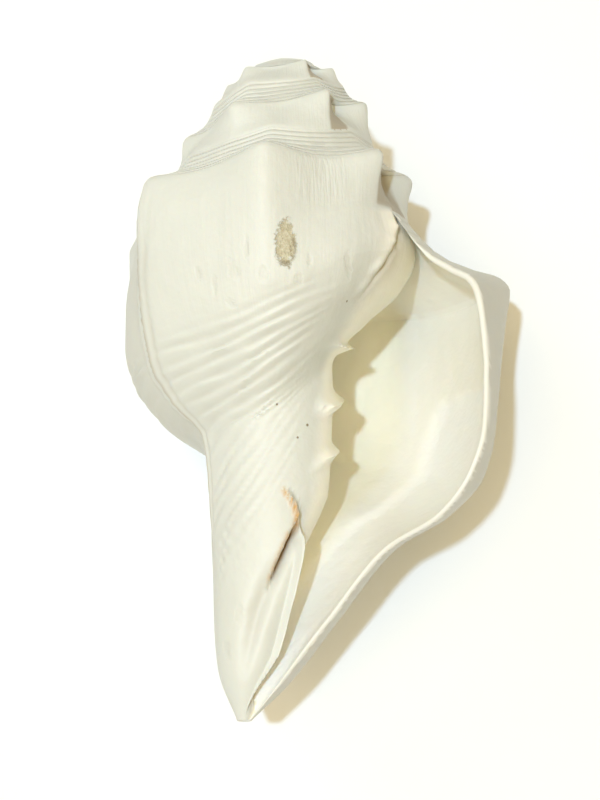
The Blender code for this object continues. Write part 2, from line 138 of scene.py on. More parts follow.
# %% Seam, shoulder and knobs
SEAM = (
    (0.0, 44.0, 180.0), (0.25, 42.5, 187.5), (0.5, 41.5, 195.5), (0.75, 36.3, 204.0),
    (1.0, 32.3, 209.8), (1.25, 30.3, 215.0), (1.5, 28.3, 221.5), (1.75, 25.2, 228.3),
    (2.0, 22.6, 231.3), (2.5, 17.6, 236.6), (3.0, 14.0, 240.2), (3.5, 11.2, 242.6),
    (4.0, 8.6, 244.4), (5.0, 5.2, 246.4),
)
SHOULDER = (
    (0.0, 77.5, 147.6), (0.09, 72.5, 156.0), (0.25, 66.5, 163.5), (0.5, 58.0, 176.5),
    (0.66, 50.3, 187.2), (0.81, 45.3, 193.0), (0.95, 43.2, 195.3), (1.1, 41.0, 198.2),
    (1.35, 38.0, 204.0), (1.61, 34.2, 210.2), (1.75, 32.6, 215.8), (1.89, 30.4, 220.8),
    (2.02, 28.2, 223.0), (2.3, 23.5, 230.0), (2.58, 20.0, 235.0), (2.86, 18.8, 238.0),
    (3.1, 17.2, 239.2), (3.5, 14.0, 241.3), (4.0, 10.8, 243.6), (4.5, 8.4, 245.2),
    (5.0, 6.6, 246.2),
)
KNOB_ANGLES = ((0, 3.0), (4, 207.0), (5, 261.0), (6, 315.0), (7, 363.0), (11, 550.0),
               (12, 598.0), (13, 657.0), (14, 699.0), (18, 900.0), (19, 946.0), (20, 1010.0),
               (21, 1051.0), (28, 1390.0), (35, 1740.0))
KNOB_ROUND = 0.045
KNOB_FADE = (2.6, 4.2)
# Each sharp knob: its number, where its step is deepest, and where the painted shade beside it ends.
STEPPED_KNOBS = ((6, 0.60, 0.78), (13, 0.36, 0.38), (20, 0.36, 0.38))
STEP_BACK = 0.19
SADDLE = 0.28
STEP_EDGE = 0.04
STEP_SOFT = 0.08
STEP_STATIONS = (2.6, 4.0)
# The strength of the painted shade beside a sharp knob.
STEP_SHADE = 2.6
SEAM_SWING = 0.022
SEAM_CLIMB = 0.045
CLIMB_AGES = (0.0, 0.25)


def knob_count(age):
    """How many knobs lie between the lip and this age, with a share for the way to the next."""
    numbers, angles = np.array(KNOB_ANGLES).T
    angle = angle_of(age)
    before = (angle - angles[0]) / (angles[1] - angles[0]) * numbers[1]
    return np.where(angle < angles[0], before, read_curve(angles, numbers, angle))


def knob_wave(age):
    """1 on the crest of a knob and 0 between knobs, fading out towards the apex."""
    count = knob_count(age)
    from_crest = np.abs(count - np.round(count))
    blunt = np.hypot(from_crest, KNOB_ROUND) - KNOB_ROUND
    widest = math.hypot(0.5, KNOB_ROUND) - KNOB_ROUND
    return (1.0 - blunt / widest) ** 2 * (1.0 - smooth_step(*KNOB_FADE, age))


def knob_step(age):
    """How far the wall stands back: 1 behind a sharp knob, and a little in the saddle before it."""
    count = knob_count(age)
    step = np.zeros(np.shape(age))
    for knob, deepest, _ in STEPPED_KNOBS:
        past = np.clip(count - knob, 0.0, 1.0)
        down = np.clip(past / deepest, 0.0, 1.0)
        step = step + down * (2.0 - down) * (1.0 - smooth_step(deepest, 1.0, past))
        before = np.clip(count - knob + 1.0, 0.0, 1.0)
        step = step + SADDLE * np.sin(math.pi * before) ** 2
    return step


def step_dirt(age, station):
    """Painted shade on the steep side of a sharp knob, where the wall stands back."""
    count = knob_count(age)
    dirt = np.zeros(np.broadcast(age, station).shape)
    for knob, _, dirty in STEPPED_KNOBS:
        side = between(count - knob, (0.0, STEP_EDGE), (dirty - STEP_SOFT, dirty))
        dirt = np.maximum(dirt, side * smooth_step(*STEP_STATIONS, station))
    return STEP_SHADE * dirt


def shoulder(age):
    """Radius and height of the shoulder between knobs."""
    return read_table(SHOULDER, age)


def seam(age):
    """Radius and height of the seam, which climbs at each knob and swings round the last ones."""
    swing = SEAM_SWING * read_table(SEAM, age)[:, 0] * knob_wave(age + 1.0)
    climb = SEAM_CLIMB * shoulder(age)[:, 0] * knob_wave(age) * smooth_step(*CLIMB_AGES, age)
    return read_table(SEAM, age) + np.stack([swing, climb], axis=1)


print("knobs in the last turn:", round(float(np.ptp(knob_count(np.array([0.0, 1.0]))))))

# %% [markdown]
# ## Wall, base, canal and pillar
#
# Below the shoulder the last turn swells and then draws in to the long canal. Five profiles, a quarter of
# a turn apart, are enough, because the curve between them is smooth. Behind the lip the same surface goes
# on as the pillar in the middle of the shell, down which the folds will run.

# %% Wall, base, canal and pillar
RAMP = ((0.0, 0.0), (0.20, 0.30), (0.41, 0.545), (0.70, 0.77), (0.92, 0.93))
SHOULDER_DROP = 0.04
LAST_TURN_WALL = (
    (0.0, ((79.6, 134.0), (81.3, 115.0), (82.8, 95.0), (79.3, 79.5), (68.6, 65.2),
           (49.3, 55.3), (29.6, 32.0), (13.8, 12.5), (2.9, 0.0))),
    (0.09, ((73.0, 140.0), (73.3, 121.0), (73.7, 103.5), (71.8, 87.5), (62.0, 75.0),
            (45.0, 62.5), (29.0, 37.0), (14.5, 13.5), (2.7, 0.0))),
    (0.25, ((67.0, 152.0), (67.5, 134.5), (67.0, 117.5), (62.5, 103.0), (52.5, 90.7),
            (38.9, 77.4), (25.2, 46.8), (12.2, 16.2), (2.5, 0.0))),
    (0.5, ((59.5, 163.5), (61.8, 150.5), (62.8, 136.5), (58.8, 122.5), (48.0, 110.0),
           (30.2, 99.0), (20.4, 57.6), (11.9, 18.0), (2.2, 0.0))),
    (0.75, ((49.0, 177.0), (48.5, 162.0), (45.5, 145.5), (38.9, 130.8), (30.5, 117.5),
            (21.6, 103.5), (17.3, 59.4), (10.6, 18.7), (2.2, 0.0))),
)
PILLAR = (
    (1.0, ((46.6, 168.5), (42.0, 155.5), (30.2, 142.0), (17.2, 124.0), (20.2, 72.0),
           (11.5, 24.0), (2.2, 0.0))),
    (1.25, ((47.5, 172.5), (40.5, 161.0), (27.0, 150.0), (15.4, 136.5), (14.6, 90.0),
            (13.7, 54.0), (13.0, 32.4))),
    (1.5, ((36.5, 185.4), (28.8, 174.6), (20.0, 163.0), (13.6, 147.6), (12.6, 118.8),
           (12.2, 100.8), (11.9, 82.8))),
    (1.75, ((32.0, 194.4), (24.8, 184.3), (16.8, 173.5), (12.4, 160.2), (11.2, 144.0),
            (10.8, 129.6), (10.8, 118.8))),
    (2.0, ((28.0, 201.5), (20.9, 193.3), (15.1, 183.6), (11.2, 172.8), (9.7, 162.0),
           (9.4, 154.8), (9.4, 147.6))),
)
STATIONS = np.arange(15.0)
KNOB_OUT = ((0.0, 0.0), (1.0, 0.01), (2.0, 0.025), (3.0, 0.06), (4.0, 0.11), (5.0, 0.13),
            (6.0, 0.09), (7.0, 0.05), (8.0, 0.022), (9.0, 0.008), (10.0, 0.0))
KNOB_UP = ((0.0, 0.0), (1.0, 0.01), (2.0, 0.025), (3.0, 0.05), (4.0, 0.07), (5.0, 0.07),
           (6.0, 0.04), (7.0, 0.015), (8.0, 0.0))
KNOB_BACK = ((2.0, 0.0), (3.0, 0.3), (4.0, 0.9), (5.0, 1.0), (6.0, 1.0), (7.0, 0.8), (9.0, 0.0))
COVERED_AGES = (0.85, 1.0)
COVERED_STATIONS = (5.0, 7.0)


def lower_stations(age):
    """Stations 6 to 14 of the last turn, and 8 to 14 of the pillar behind it."""
    last_turn = np.array([wall for _, wall in LAST_TURN_WALL], float)
    pillar_ages = np.array([row[0] for row in PILLAR])
    pillar = np.array([wall for _, wall in PILLAR], float)
    tops = read_table(SEAM, pillar_ages - 1.0)
    middles = (tops + read_table(SHOULDER, pillar_ages)) / 2.0
    pillar = np.concatenate([middles[:, None], tops[:, None], pillar], axis=1)
    knots = [row[0] for row in LAST_TURN_WALL] + list(pillar_ages)
    values = np.concatenate([last_turn, pillar], axis=0)
    return read_curve(knots, values, np.minimum(age, knots[-1]))


def station_points(age, knob_share=1.0):
    """The 15 stations of each column, as an array of (radius, height)."""
    top = seam(age)
    corner = shoulder(age)
    drop = np.stack([np.zeros(len(age)), SHOULDER_DROP * corner[:, 0]], axis=1)
    ramp = [top + (corner - top) * np.array(share) for share in RAMP]
    points = np.stack(ramp + [corner - drop], axis=1)
    points = np.concatenate([points, lower_stations(age)], axis=1)
    older = age >= 1.0
    points[older, 7] = seam(age[older] - 1.0)
    points[older, 6] = (points[older, 5] + points[older, 7]) / 2.0
    covered = smooth_step(*COVERED_AGES, age)[:, None]
    fade = 1.0 - smooth_step(*COVERED_STATIONS, STATIONS) * covered
    strength = knob_share * corner[:, 0] * knob_wave(age)
    points[:, :, 0] += np.interp(STATIONS, *zip(*KNOB_OUT)) * fade * strength[:, None]
    points[:, :, 1] += np.interp(STATIONS, *zip(*KNOB_UP)) * fade * strength[:, None]
    back = knob_share * STEP_BACK * corner[:, 0] * knob_step(age)
    points[:, :, 0] -= np.interp(STATIONS, *zip(*KNOB_BACK)) * fade * back[:, None]
    return points


def outline(age, station, knob_share=1.0):
    """Radius and height for every column's age and every row's station."""
    age = np.asarray(age, float)
    station = np.broadcast_to(np.asarray(station, float), (len(age), np.shape(station)[-1]))
    result = np.empty(station.shape + (2,))
    for column, points in enumerate(station_points(age, knob_share)):
        length = np.concatenate([[0.0], np.cumsum(np.linalg.norm(np.diff(points, axis=0), axis=1))])
        result[column] = read_curve(length, points, np.interp(station[column], STATIONS, length))
    return result


print("widest radius of the last turn, mm:", outline([0.0], STATIONS)[..., 0].max().round(1))

# %% [markdown]
# ## Threads and cords
#
# Fine threads run along the ramp beside the seam, as flat bands with narrow grooves between them. Low
# round cords cross the base a little askew and unevenly, and fade towards the lip and the opening. Each
# is a function of age and station that gives a rise in millimetres, so that a seam between two sheets of
# the mesh can never open.

# %% Threads and cords
THREAD_GROOVES = (0.3, 0.85, 1.5, 2.25, 3.05, 3.9)
THREAD_DEPTH = 0.5
THREAD_WIDTH = 0.085
THREAD_AGES = (0.1, 0.6)
YOUNG_THREAD = 0.55
CORD_TOP = 8.3
CORD_FULL = 9.0
CORD_END = 10.8
CORDS = 9
LOW_CORD_FADE = 11.7
LOW_CORD_END = 12.3
LOW_CORDS = 10
CORD_HEIGHT = 0.72
CORD_SLANTS = ((1.8, (8.8, 10.2)), (1.1, (10.3, 11.4)))
LEVEL_AGE = 0.75
CORD_SWINGS = ((0.09, 27.0, 1.7), (0.04, 67.0, -2.3))
CORD_UNEVEN = 0.38
CORD_LUMPS = ((47.0, 2.4), (29.0, -1.1))
CORD_START = (0.06, 0.22)
CORD_FADE = (0.79, 0.93)
LOW_CORD_STATIONS = (10.4, 11.0)
LOW_CORD_AGES = (0.56, 0.67)
LOW_CORD_SHARE = 0.6


def groove_mask(age, station):
    """1 in the grooves between the threads, and 0 on them."""
    mask = np.zeros(np.broadcast(age, station).shape)
    for groove in THREAD_GROOVES:
        mask = np.maximum(mask, hump(station - groove, THREAD_WIDTH))
    return mask * (YOUNG_THREAD + (1.0 - YOUNG_THREAD) * smooth_step(*THREAD_AGES, age))


def cord_wave(age, station):
    """Plus 1 on the crests of the cords, minus 1 between them, and 0 where there are none."""
    slant = sum(turn * smooth_step(*where, station) for turn, where in CORD_SLANTS)
    askew = station + slant * (age - LEVEL_AGE)
    count = np.interp(askew, (CORD_TOP, CORD_END, LOW_CORD_END), (0.0, CORDS, CORDS + LOW_CORDS))
    count = count + sum(swing * np.sin(along * age + over * count) for swing, along, over in CORD_SWINGS)
    lumps = 1.0
    for along, over in CORD_LUMPS:
        lumps = lumps * np.sin(along * age + over * count)
    uneven = 1.0 - CORD_UNEVEN + CORD_UNEVEN * lumps
    worn = 1.0 - LOW_CORD_SHARE * smooth_step(*LOW_CORD_AGES, age)
    strength = between(askew, (CORD_TOP, CORD_FULL), (LOW_CORD_FADE, LOW_CORD_END))
    strength = strength * (1.0 - smooth_step(*LOW_CORD_STATIONS, askew) * worn)
    return -np.cos(2.0 * math.pi * count) * uneven * strength * between(age, CORD_START, CORD_FADE)


print("grooves on the ramp:", len(THREAD_GROOVES), " cords on the base:", CORDS)

# %% [markdown]
# ## An old lip
#
# On the left the snail once stopped growing for a while. When it went on, the new shell began a little
# below the edge of the old lip, so a step runs down the wall there. A finer line lies on the younger shell
# beside it, painted shade lies in the step's crease, along the line and on a band before the step, and the
# cords are worn away along it.

# %% Old lip
OLD_LIP = ((4.5, 0.664), (5.1, 0.657), (6.55, 0.652), (7.6, 0.641), (8.5, 0.632), (9.3, 0.618),
           (9.95, 0.614), (10.65, 0.607), (11.15, 0.601), (11.6, 0.606), (12.3, 0.612))
OLD_LIP_RISE = 2.1
OLD_LIP_EDGE = 0.004
OLD_LIP_FADE = 0.04
OLD_LIP_TOP = (4.8, 5.8)
OLD_LIP_FOOT = (11.3, 12.2)
OLD_LIP_WEAR = 0.85
OLD_LIP_WEAR_WIDTH = 0.024
OLD_LINE_RISE = 0.8
OLD_LINE_AWAY = 0.012
OLD_LINE_WIDTH = 0.004
OLD_LINE_TROUGH = 0.5
# Painted shade in the crease, along the fine line and on a band of the younger shell before the step.
OLD_SHADE = 1.6
OLD_SHADE_AWAY = 0.001
OLD_SHADE_WIDTH = 0.003
OLD_SHADE_TOP = (6.0, 7.0)
OLD_SHADE_FOOT = (11.6, 12.4)
FILM_SHADE = 0.4
FILM_START = (-0.16, -0.08)


def old_lip_rise(age, station):
    """The step at an old lip, and the fine line on the younger shell beside it."""
    away = age_past(age, station, OLD_LIP)
    step = smooth_step(-OLD_LIP_EDGE, 0.0, away) * np.exp(-np.clip(away, 0.0, None) / OLD_LIP_FADE)
    line = hump(away + OLD_LINE_AWAY, OLD_LINE_WIDTH)
    line = line - OLD_LINE_TROUGH * hump(away - OLD_LINE_AWAY, OLD_LINE_WIDTH)
    return between(station, OLD_LIP_TOP, OLD_LIP_FOOT) * (OLD_LIP_RISE * step + OLD_LINE_RISE * line)


def old_lip_dirt(age, station):
    """Painted shade in the crease under the old lip and along the fine line, and a band of it on the younger
    shell beside it.
    """
    away = age_past(age, station, OLD_LIP)
    crease = hump(away - OLD_SHADE_AWAY, OLD_SHADE_WIDTH)
    crease = crease + FILM_SHADE * hump(away - OLD_LINE_AWAY, OLD_SHADE_WIDTH)
    film = FILM_SHADE * between(away, FILM_START, (-OLD_LIP_EDGE, 0.0))
    return np.maximum(OLD_SHADE * crease, film) * between(station, OLD_SHADE_TOP, OLD_SHADE_FOOT)


def clear_of_old_lip(age, station):
    """1 away from the old lip, and less beside it, where the cords are worn away."""
    return 1.0 - OLD_LIP_WEAR * hump(age_past(age, station, OLD_LIP), OLD_LIP_WEAR_WIDTH)


print("the old lip's step, mm:", OLD_LIP_RISE, " its age at the shoulder:", OLD_LIP[1][1])

# %% [markdown]
# ## Folds, slit and callus
#
# Three sharp folds wind round the pillar: short fins at its edge, steeper below than above, each with a
# low ridge that leads to it. Further down, a slit is sunk in beside a thin raised edge, behind which the
# wall of the canal lies deep. A thin callus spreads from the opening over the wall and ends in a crease.

# %% Folds
FOLDS = (
    {"station": 10.62, "rise": 5.4, "above": 3.4, "below": 2.8, "start": 0.90, "full": 1.04, "lift": 5.0},
    {"station": 11.28, "rise": 5.4, "above": 6.4, "below": 4.4, "start": 0.925, "full": 1.01, "lift": 4.0},
    {"station": 11.63, "rise": 3.7, "above": 5.0, "below": 3.8, "start": 0.925, "full": 1.01, "lift": -1.0},
)
FOLD_SHARPNESS = 2.0
FOLD_FADE = (1.3, 1.6)


def fold_rise(age, height):
    """The three sharp folds that wind round the pillar."""
    rise = np.zeros(height.shape)
    for fold in FOLDS:
        crest = outline(age, [fold["station"]])[..., 1]
        along = smooth_step(fold["start"], fold["full"], age)[:, None]
        away = height - crest - fold["lift"] * (1.0 - along)
        away = np.where(away > 0.0, away / fold["above"], -away / fold["below"])
        fin = np.clip(1.0 - away, 0.0, 1.0) ** FOLD_SHARPNESS
        rise = np.maximum(rise, fold["rise"] * fin * along)
    return rise * (1.0 - smooth_step(*FOLD_FADE, age))[:, None]


print("fold crests at the lip's side, mm above the canal's end:",
      [round(float(outline([1.0], [fold["station"]])[0, 0, 1])) for fold in FOLDS])

# %% Slit, thin edge and callus
SLIT_RADIUS = 18.0
SLIT_PATH = ((44.0, -79.5, 0.0), (46.5, -77.0, 2.2), (50.0, -74.0, 3.8), (54.0, -70.5, 4.8),
             (59.0, -65.5, 5.4), (63.0, -61.5, 5.2), (66.5, -58.0, 3.4), (70.0, -59.5, 0.8),
             (74.0, -66.0, 0.0))
SLIT_WIDTHS = (0.8, 2.2)
HOLLOW_PATH = ((12.0, -104.0, 0.0), (24.0, -96.0, 1.4), (37.0, -88.0, 2.6), (46.0, -79.0, 2.0),
               (56.0, -70.0, 0.0))
HOLLOW_WIDTHS = (5.0, 3.6)
EDGE_PATH = ((2.5, -82.0, 0.0), (9.0, -67.0, 1.0), (15.0, -55.0, 2.2), (21.0, -47.5, 3.0),
             (26.0, -48.0, 3.2), (37.0, -50.0, 3.2), (47.0, -50.5, 3.1), (56.5, -51.5, 3.1),
             (61.0, -53.0, 3.0), (67.0, -57.5, 2.6), (72.0, -63.0, 2.0), (75.0, -69.0, 1.3),
             (77.5, -74.0, 1.0), (79.0, -79.0, 0.0))
EDGE_WIDTHS = (0.8, 1.3)
CANAL_SINK = ((2.0, 0.0), (8.0, 0.62), (46.0, 0.62), (54.0, 0.46), (63.0, 0.26), (74.0, 0.09),
              (80.0, 0.0))
CANAL_SINK_TURN = 0.028
SLIT_START = (0.6, 0.7)
SLIT_FADE = (1.25, 1.45)
CREASE = ((7.0, 1.012), (7.4, 1.008), (8.0, 0.996), (8.5, 0.984), (9.1, 0.968), (9.6, 0.955))
CREASE_DEPTH = 1.2
CREASE_WIDTH = 0.006
CREASE_TOP = (7.0, 7.3)
CREASE_FOOT = (8.9, 9.6)
RIDGE_RISE = 1.5
RIDGE_AWAY = 2.2
RIDGE_WIDTH = 1.6
RIDGE_UNEVEN = 0.35
RIDGE_LUMPS = 11.0
SHADE_FADE = 0.03
SHADE_TOP = (7.0, 7.2)
SHADE_FOOT = (8.6, 9.8)
CALLUS_RISE = 0.45
CALLUS_START = (0.84, 0.93)
CALLUS_END = (0.99, 1.0)
CALLUS_TOP = (6.8, 6.9)
CALLUS_FOOT = (8.0, 9.5)


def beside_path(angle, height, path, widths):
    """How strong a ridge along a path on the canal is here, with a width for each of its sides."""
    heights, angles, strengths = np.array(path).T
    away = np.radians(angle - np.interp(height, heights, angles)) * SLIT_RADIUS
    strength = np.interp(height, heights, strengths, left=0.0, right=0.0)
    return strength * hump(away, np.where(away < 0.0, widths[0], widths[1]))


def canal_sink(age, height):
    """The share of the radius by which the canal's wall lies deeper behind the thin edge."""
    heights, angles, _ = np.array(EDGE_PATH).T
    behind = (angle_of(age) - 360.0 - np.interp(height, heights, angles)) / 360.0
    return np.interp(height, *zip(*CANAL_SINK)) * smooth_step(0.0, CANAL_SINK_TURN, behind)


def slit_rise(age, height, radius):
    """The slit and the hollow below it, the thin edge, and the deep wall of the canal behind."""
    angle = angle_of(age) - 360.0
    sink = canal_sink(age, height)
    rise = beside_path(angle, height, EDGE_PATH, EDGE_WIDTHS)
    rise = rise - beside_path(angle, height, SLIT_PATH, SLIT_WIDTHS)
    rise = rise - beside_path(angle, height, HOLLOW_PATH, HOLLOW_WIDTHS) - sink * radius
    return rise * smooth_step(*SLIT_START, age) * (1.0 - smooth_step(*SLIT_FADE, age))


def callus_rise(age, station):
    """The callus, with a ridge and a crease near the opening."""
    away = age_past(age, station, CREASE) / CREASE_WIDTH
    lumps = 1.0 - RIDGE_UNEVEN + RIDGE_UNEVEN * np.sin(RIDGE_LUMPS * station)
    ridge = RIDGE_RISE * lumps * hump(away + RIDGE_AWAY, RIDGE_WIDTH)
    crease = (ridge - CREASE_DEPTH * hump(away, 1.0)) * between(station, CREASE_TOP, CREASE_FOOT)
    thin = between(age, CALLUS_START, CALLUS_END) * between(station, CALLUS_TOP, CALLUS_FOOT)
    return CALLUS_RISE * thin + crease


def beside_crease(age, station):
    """Where painted shade lies: 1 in the crease beside the opening, fading towards the opening."""
    away = age_past(age, station, CREASE)
    fade = np.exp(-np.clip(away, 0.0, None) / SHADE_FADE) * smooth_step(-CREASE_WIDTH, 0.0, away)
    return fade * between(station, SHADE_TOP, SHADE_FOOT)


def outer_surface(age, station):
    """Radius and height of the outside with all its relief."""
    age = np.asarray(age, float)
    flat = outline(age, station)
    station = np.broadcast_to(np.asarray(station, float), flat.shape[:2])
    column = age[:, None]
    cords = cord_wave(column, station) * clear_of_old_lip(column, station)
    rise = CORD_HEIGHT * cords - THREAD_DEPTH * groove_mask(column, station)
    rise = rise + old_lip_rise(column, station) + callus_rise(column, station)
    rise = rise + fold_rise(age, flat[..., 1]) + slit_rise(column, flat[..., 1], flat[..., 0])
    flat[..., 0] += rise
    return flat


print("the crest of the middle fold stands out by, mm:",
      np.ptp(fold_rise(np.array([1.05]), np.linspace(80.0, 130.0, 200)[None])).round(1))

# %% [markdown]
# ## The skin of the opening
#
# The shell is thin at the lip and thicker behind it. The inner skin is the outer surface set in by that
# thickness, with the knobs half smoothed out, as the snail leaves it. Its top edge ends on the turn above
# and its foot ends on the pillar's root, so the hollow closes like a real one.

# %% Inner skin
LIP_WALL = 2.1
WALL = 4.5
LIP_AGE = 0.06
SKIN_TOP = 0.55
SKIN_BEND = 8.3
SKIN_END = 13.9
SKIN_SAMPLES = 200
KNOB_INSIDE_SHARE = 0.45
ROOF_STEP = 0.35
FLOOR_STEP = 3.0
FLOOR_AGE = 0.1
TIP_WALL = 0.25
TIP_HEIGHT = 30.0
TOP_PULL_END = 2.5
FOOT_PULL = (0.6, 1.0)
FLARE = ((7.0, 0.120), (7.15, 0.145), (7.3, 0.162), (7.6, 0.173), (8.25, 0.180), (9.2, 0.177),
         (10.55, 0.180), (11.6, 0.212), (12.6, 0.240))
FLARE_THIN = 1.1
FLARE_EDGE = 0.012
FLARE_TOP = (6.9, 7.2)


def roof_station(age):
    """The station on the pillar's side where the cavity's roof begins."""
    return 7.0 + ROOF_STEP * smooth_step(0.0, LIP_AGE, age)


def flare_mask(age, station):
    """1 on the wide band behind the lip where the opening flares, and 0 deeper inside."""
    away = age_past(age, station, FLARE)
    return (1.0 - smooth_step(-FLARE_EDGE, FLARE_EDGE, away)) * smooth_step(*FLARE_TOP, station)


def inner_surface(age, rows):
    """The skin of the cavity, set in from the outside, from the seam to the pillar."""
    fine = np.linspace(SKIN_TOP / 2.0, STATIONS[-1], SKIN_SAMPLES)
    curve = outline(age, fine, KNOB_INSIDE_SHARE)
    behind_lip = smooth_step(0.0, LIP_AGE, age)
    wall = LIP_WALL + (WALL - LIP_WALL) * behind_lip
    end_stations = np.stack([roof_station(age), np.full(len(age), STATIONS[-1])], axis=1)
    ends = outer_surface(age + 1.0, end_stations)
    inner = np.empty((len(age), len(rows), 2))
    for column in range(len(age)):
        line = curve[column]
        run = np.gradient(line, axis=0)
        run = run / np.linalg.norm(run, axis=1)[:, None]
        inward = np.stack([run[:, 1], -run[:, 0]], axis=1)
        above_tip = smooth_step(0.0, TIP_HEIGHT, line[:, 1] - line[-1, 1])
        thickness = wall[column] * (TIP_WALL + (1.0 - TIP_WALL) * above_tip)
        thickness = thickness - FLARE_THIN * flare_mask(age[column], fine) * behind_lip[column]
        set_in = line + inward * thickness[:, None]
        roof, floor = ends[column]
        foot_height = floor[1] + FLOOR_STEP * smooth_step(0.0, FLOOR_AGE, age[column])
        foot = min(SKIN_END, np.interp(-foot_height, -line[:, 1], fine))
        base = np.clip((rows - SKIN_BEND) / (STATIONS[-1] - SKIN_BEND), 0.0, 1.0)
        station = np.where(rows > SKIN_BEND, SKIN_BEND + base * (foot - SKIN_BEND), rows)
        station = np.maximum(station, SKIN_TOP)
        skin = np.stack([np.interp(station, fine, set_in[:, axis]) for axis in (0, 1)], axis=1)
        top_pull = (1.0 - smooth_step(SKIN_TOP, TOP_PULL_END, station))[:, None]
        skin = skin + (roof - skin[0]) * top_pull
        inner[column] = skin + (floor - skin[-1]) * smooth_step(*FOOT_PULL, base)[:, None]
    return inner


print("wall at the lip and behind it, mm:", LIP_WALL, WALL)

# %% [markdown]
# ## Round the axis, and down on its back
#
# A point (radius, height) at some age becomes a point in space by turning it round the axis. The canal
# leans away from the axis a little. The shell is drawn upright here, as it is easiest to think of, and
# then turned on its back, as it lies by itself on a table. The turn and the place are the same as in the
# solid, so that the two coincide.

# %% Placing points
LEAN_HEIGHT = 118.8
LEAN = 14.8
LEAN_POWER = 1.1
DOWN = Vector((0.11, 0.994, -0.029))
AXIS_FOOT = np.array((-9.680, -122.875, 61.867))

up = -DOWN.normalized()
across = Vector((0.0, 0.0, 1.0)).cross(up).normalized()
REST_TURN = np.array([across, up.cross(across), up])


def lay(points):
    """Turns upright millimetres into metres on the table."""
    return (points @ REST_TURN.T + AXIS_FOOT) * MM


def place(age, flat):
    """Turns (radius, height) into points on the table, with the lean of the canal."""
    angle = np.radians(angle_of(np.asarray(age, float)))[:, None]
    radius, height = flat[..., 0], flat[..., 1]
    lean = -LEAN * np.clip(1.0 - height / LEAN_HEIGHT, 0.0, None) ** LEAN_POWER
    return lay(np.stack([radius * np.cos(angle) + lean, radius * np.sin(angle), height], axis=-1))


print("apex on the table, mm:", (lay(np.array([0.0, 0.0, 246.2])) * 1000).round(1))

# %% [markdown]
# ## Sheets
#
# Each part of the surface starts as a flat grid, as if cut from a sheet of dough, and is then wrapped to
# its place: one column of the grid for each age, one row for each station. The grid's UV map holds age
# and station, so that the finish can later follow the growth. Five masks go along as attributes: *glaze*
# is 1 where the surface is smooth like porcelain, *deep* where that glaze is creamy and, on the inner skin,
# where painted shade lies past the pillar's shadow, a mask of painted shade for grooves, creases and
# recesses, *stain* on the rusty rim of the slit, and a mask of painted shade at the slit's bottom.

# %% Rows and columns
CAVITY_DEPTH = 0.78
TURN_STRETCHES = ((0.0, 0.585, 76), (0.585, 0.675, 42), (0.675, 0.86, 34), (0.86, 1.0, 60))
CAVITY_STRETCHES = ((0.0, 0.06, 16), (0.06, 0.2, 34), (0.2, CAVITY_DEPTH + 0.01, 60))
LOWER_STRETCHES = ((CORD_TOP, CORD_END, 6 * CORDS), (CORD_END, 11.8, 28), (11.8, 12.7, 13), (12.7, 14.0, 18))
ROWS_AT_GROOVE = np.array([-1.6, -0.8, 0.0, 0.8, 1.6]) * THREAD_WIDTH


def spread(stretches):
    """Evenly spaced values in each stretch of (first, last, how many), without the last one."""
    return np.concatenate([np.linspace(low, high, count, endpoint=False)
                           for low, high, count in stretches])


near_grooves = (np.array(THREAD_GROOVES)[:, None] + ROWS_AT_GROOVE).ravel()
thread_rows = np.sort(np.concatenate([[0.0], near_grooves, [4.4, 4.7]]))
wall_rows = [4.95, 5.15, 5.35, 5.6, 5.9, 6.3, 6.65, 6.78, 6.86, 6.94, 7.0]
upper_rows = np.concatenate([thread_rows, wall_rows])
ROWS = np.concatenate([upper_rows, [7.1, 7.3, 7.55, 7.8, 8.05], spread(LOWER_STRETCHES), [STATIONS[-1]]])
SEAM_ROW = len(upper_rows) - 1
one_turn = spread(TURN_STRETCHES)
cavity_ages = spread(CAVITY_STRETCHES)
PER_TURN = len(one_turn)
AGES = np.concatenate([one_turn + whole for whole in range(math.ceil(TURNS) + 1)])
AGES = AGES[AGES <= TURNS]
print("columns in a turn:", PER_TURN, " rows:", len(ROWS), " rows down to the next turn:", SEAM_ROW + 1)

# %% Wrapping a sheet


def deselect_all():
    """Leaves nothing selected, so that the next operator acts on one thing alone."""
    if bpy.context.object and bpy.context.object.mode != "OBJECT":
        bpy.ops.object.mode_set(mode="OBJECT")
    bpy.ops.object.select_all(action="DESELECT")


MASKS = ("glaze", "deep", "dirt", "stain", "dark")


def wrap_sheet(name, points, ages, stations, **masks):
    """Adds a flat grid and wraps it to the points, one column of the grid for each age."""
    columns, rows = points.shape[:2]
    deselect_all()
    bpy.ops.mesh.primitive_grid_add(x_subdivisions=rows - 1, y_subdivisions=columns - 1)
    sheet = bpy.context.object
    sheet.name = name
    mesh = sheet.data
    mesh.vertices.foreach_set("co", points.ravel())
    corner = np.empty(len(mesh.loops), int)
    mesh.loops.foreach_get("vertex_index", corner)
    growth = np.stack([np.broadcast_to(ages[:, None], (columns, rows)),
                       np.broadcast_to(stations, (columns, rows))], axis=-1).reshape(-1, 2)
    mesh.uv_layers.active.name = "growth"
    mesh.uv_layers["growth"].uv.foreach_set("vector", growth[corner].ravel())
    for label in MASKS:
        layer = mesh.attributes.new(label, "FLOAT", "POINT")
        layer.data.foreach_set("value", np.broadcast_to(masks.get(label, 0.0), (columns, rows)).ravel())
    print(name, "sheet:", columns, "by", rows)
    return sheet
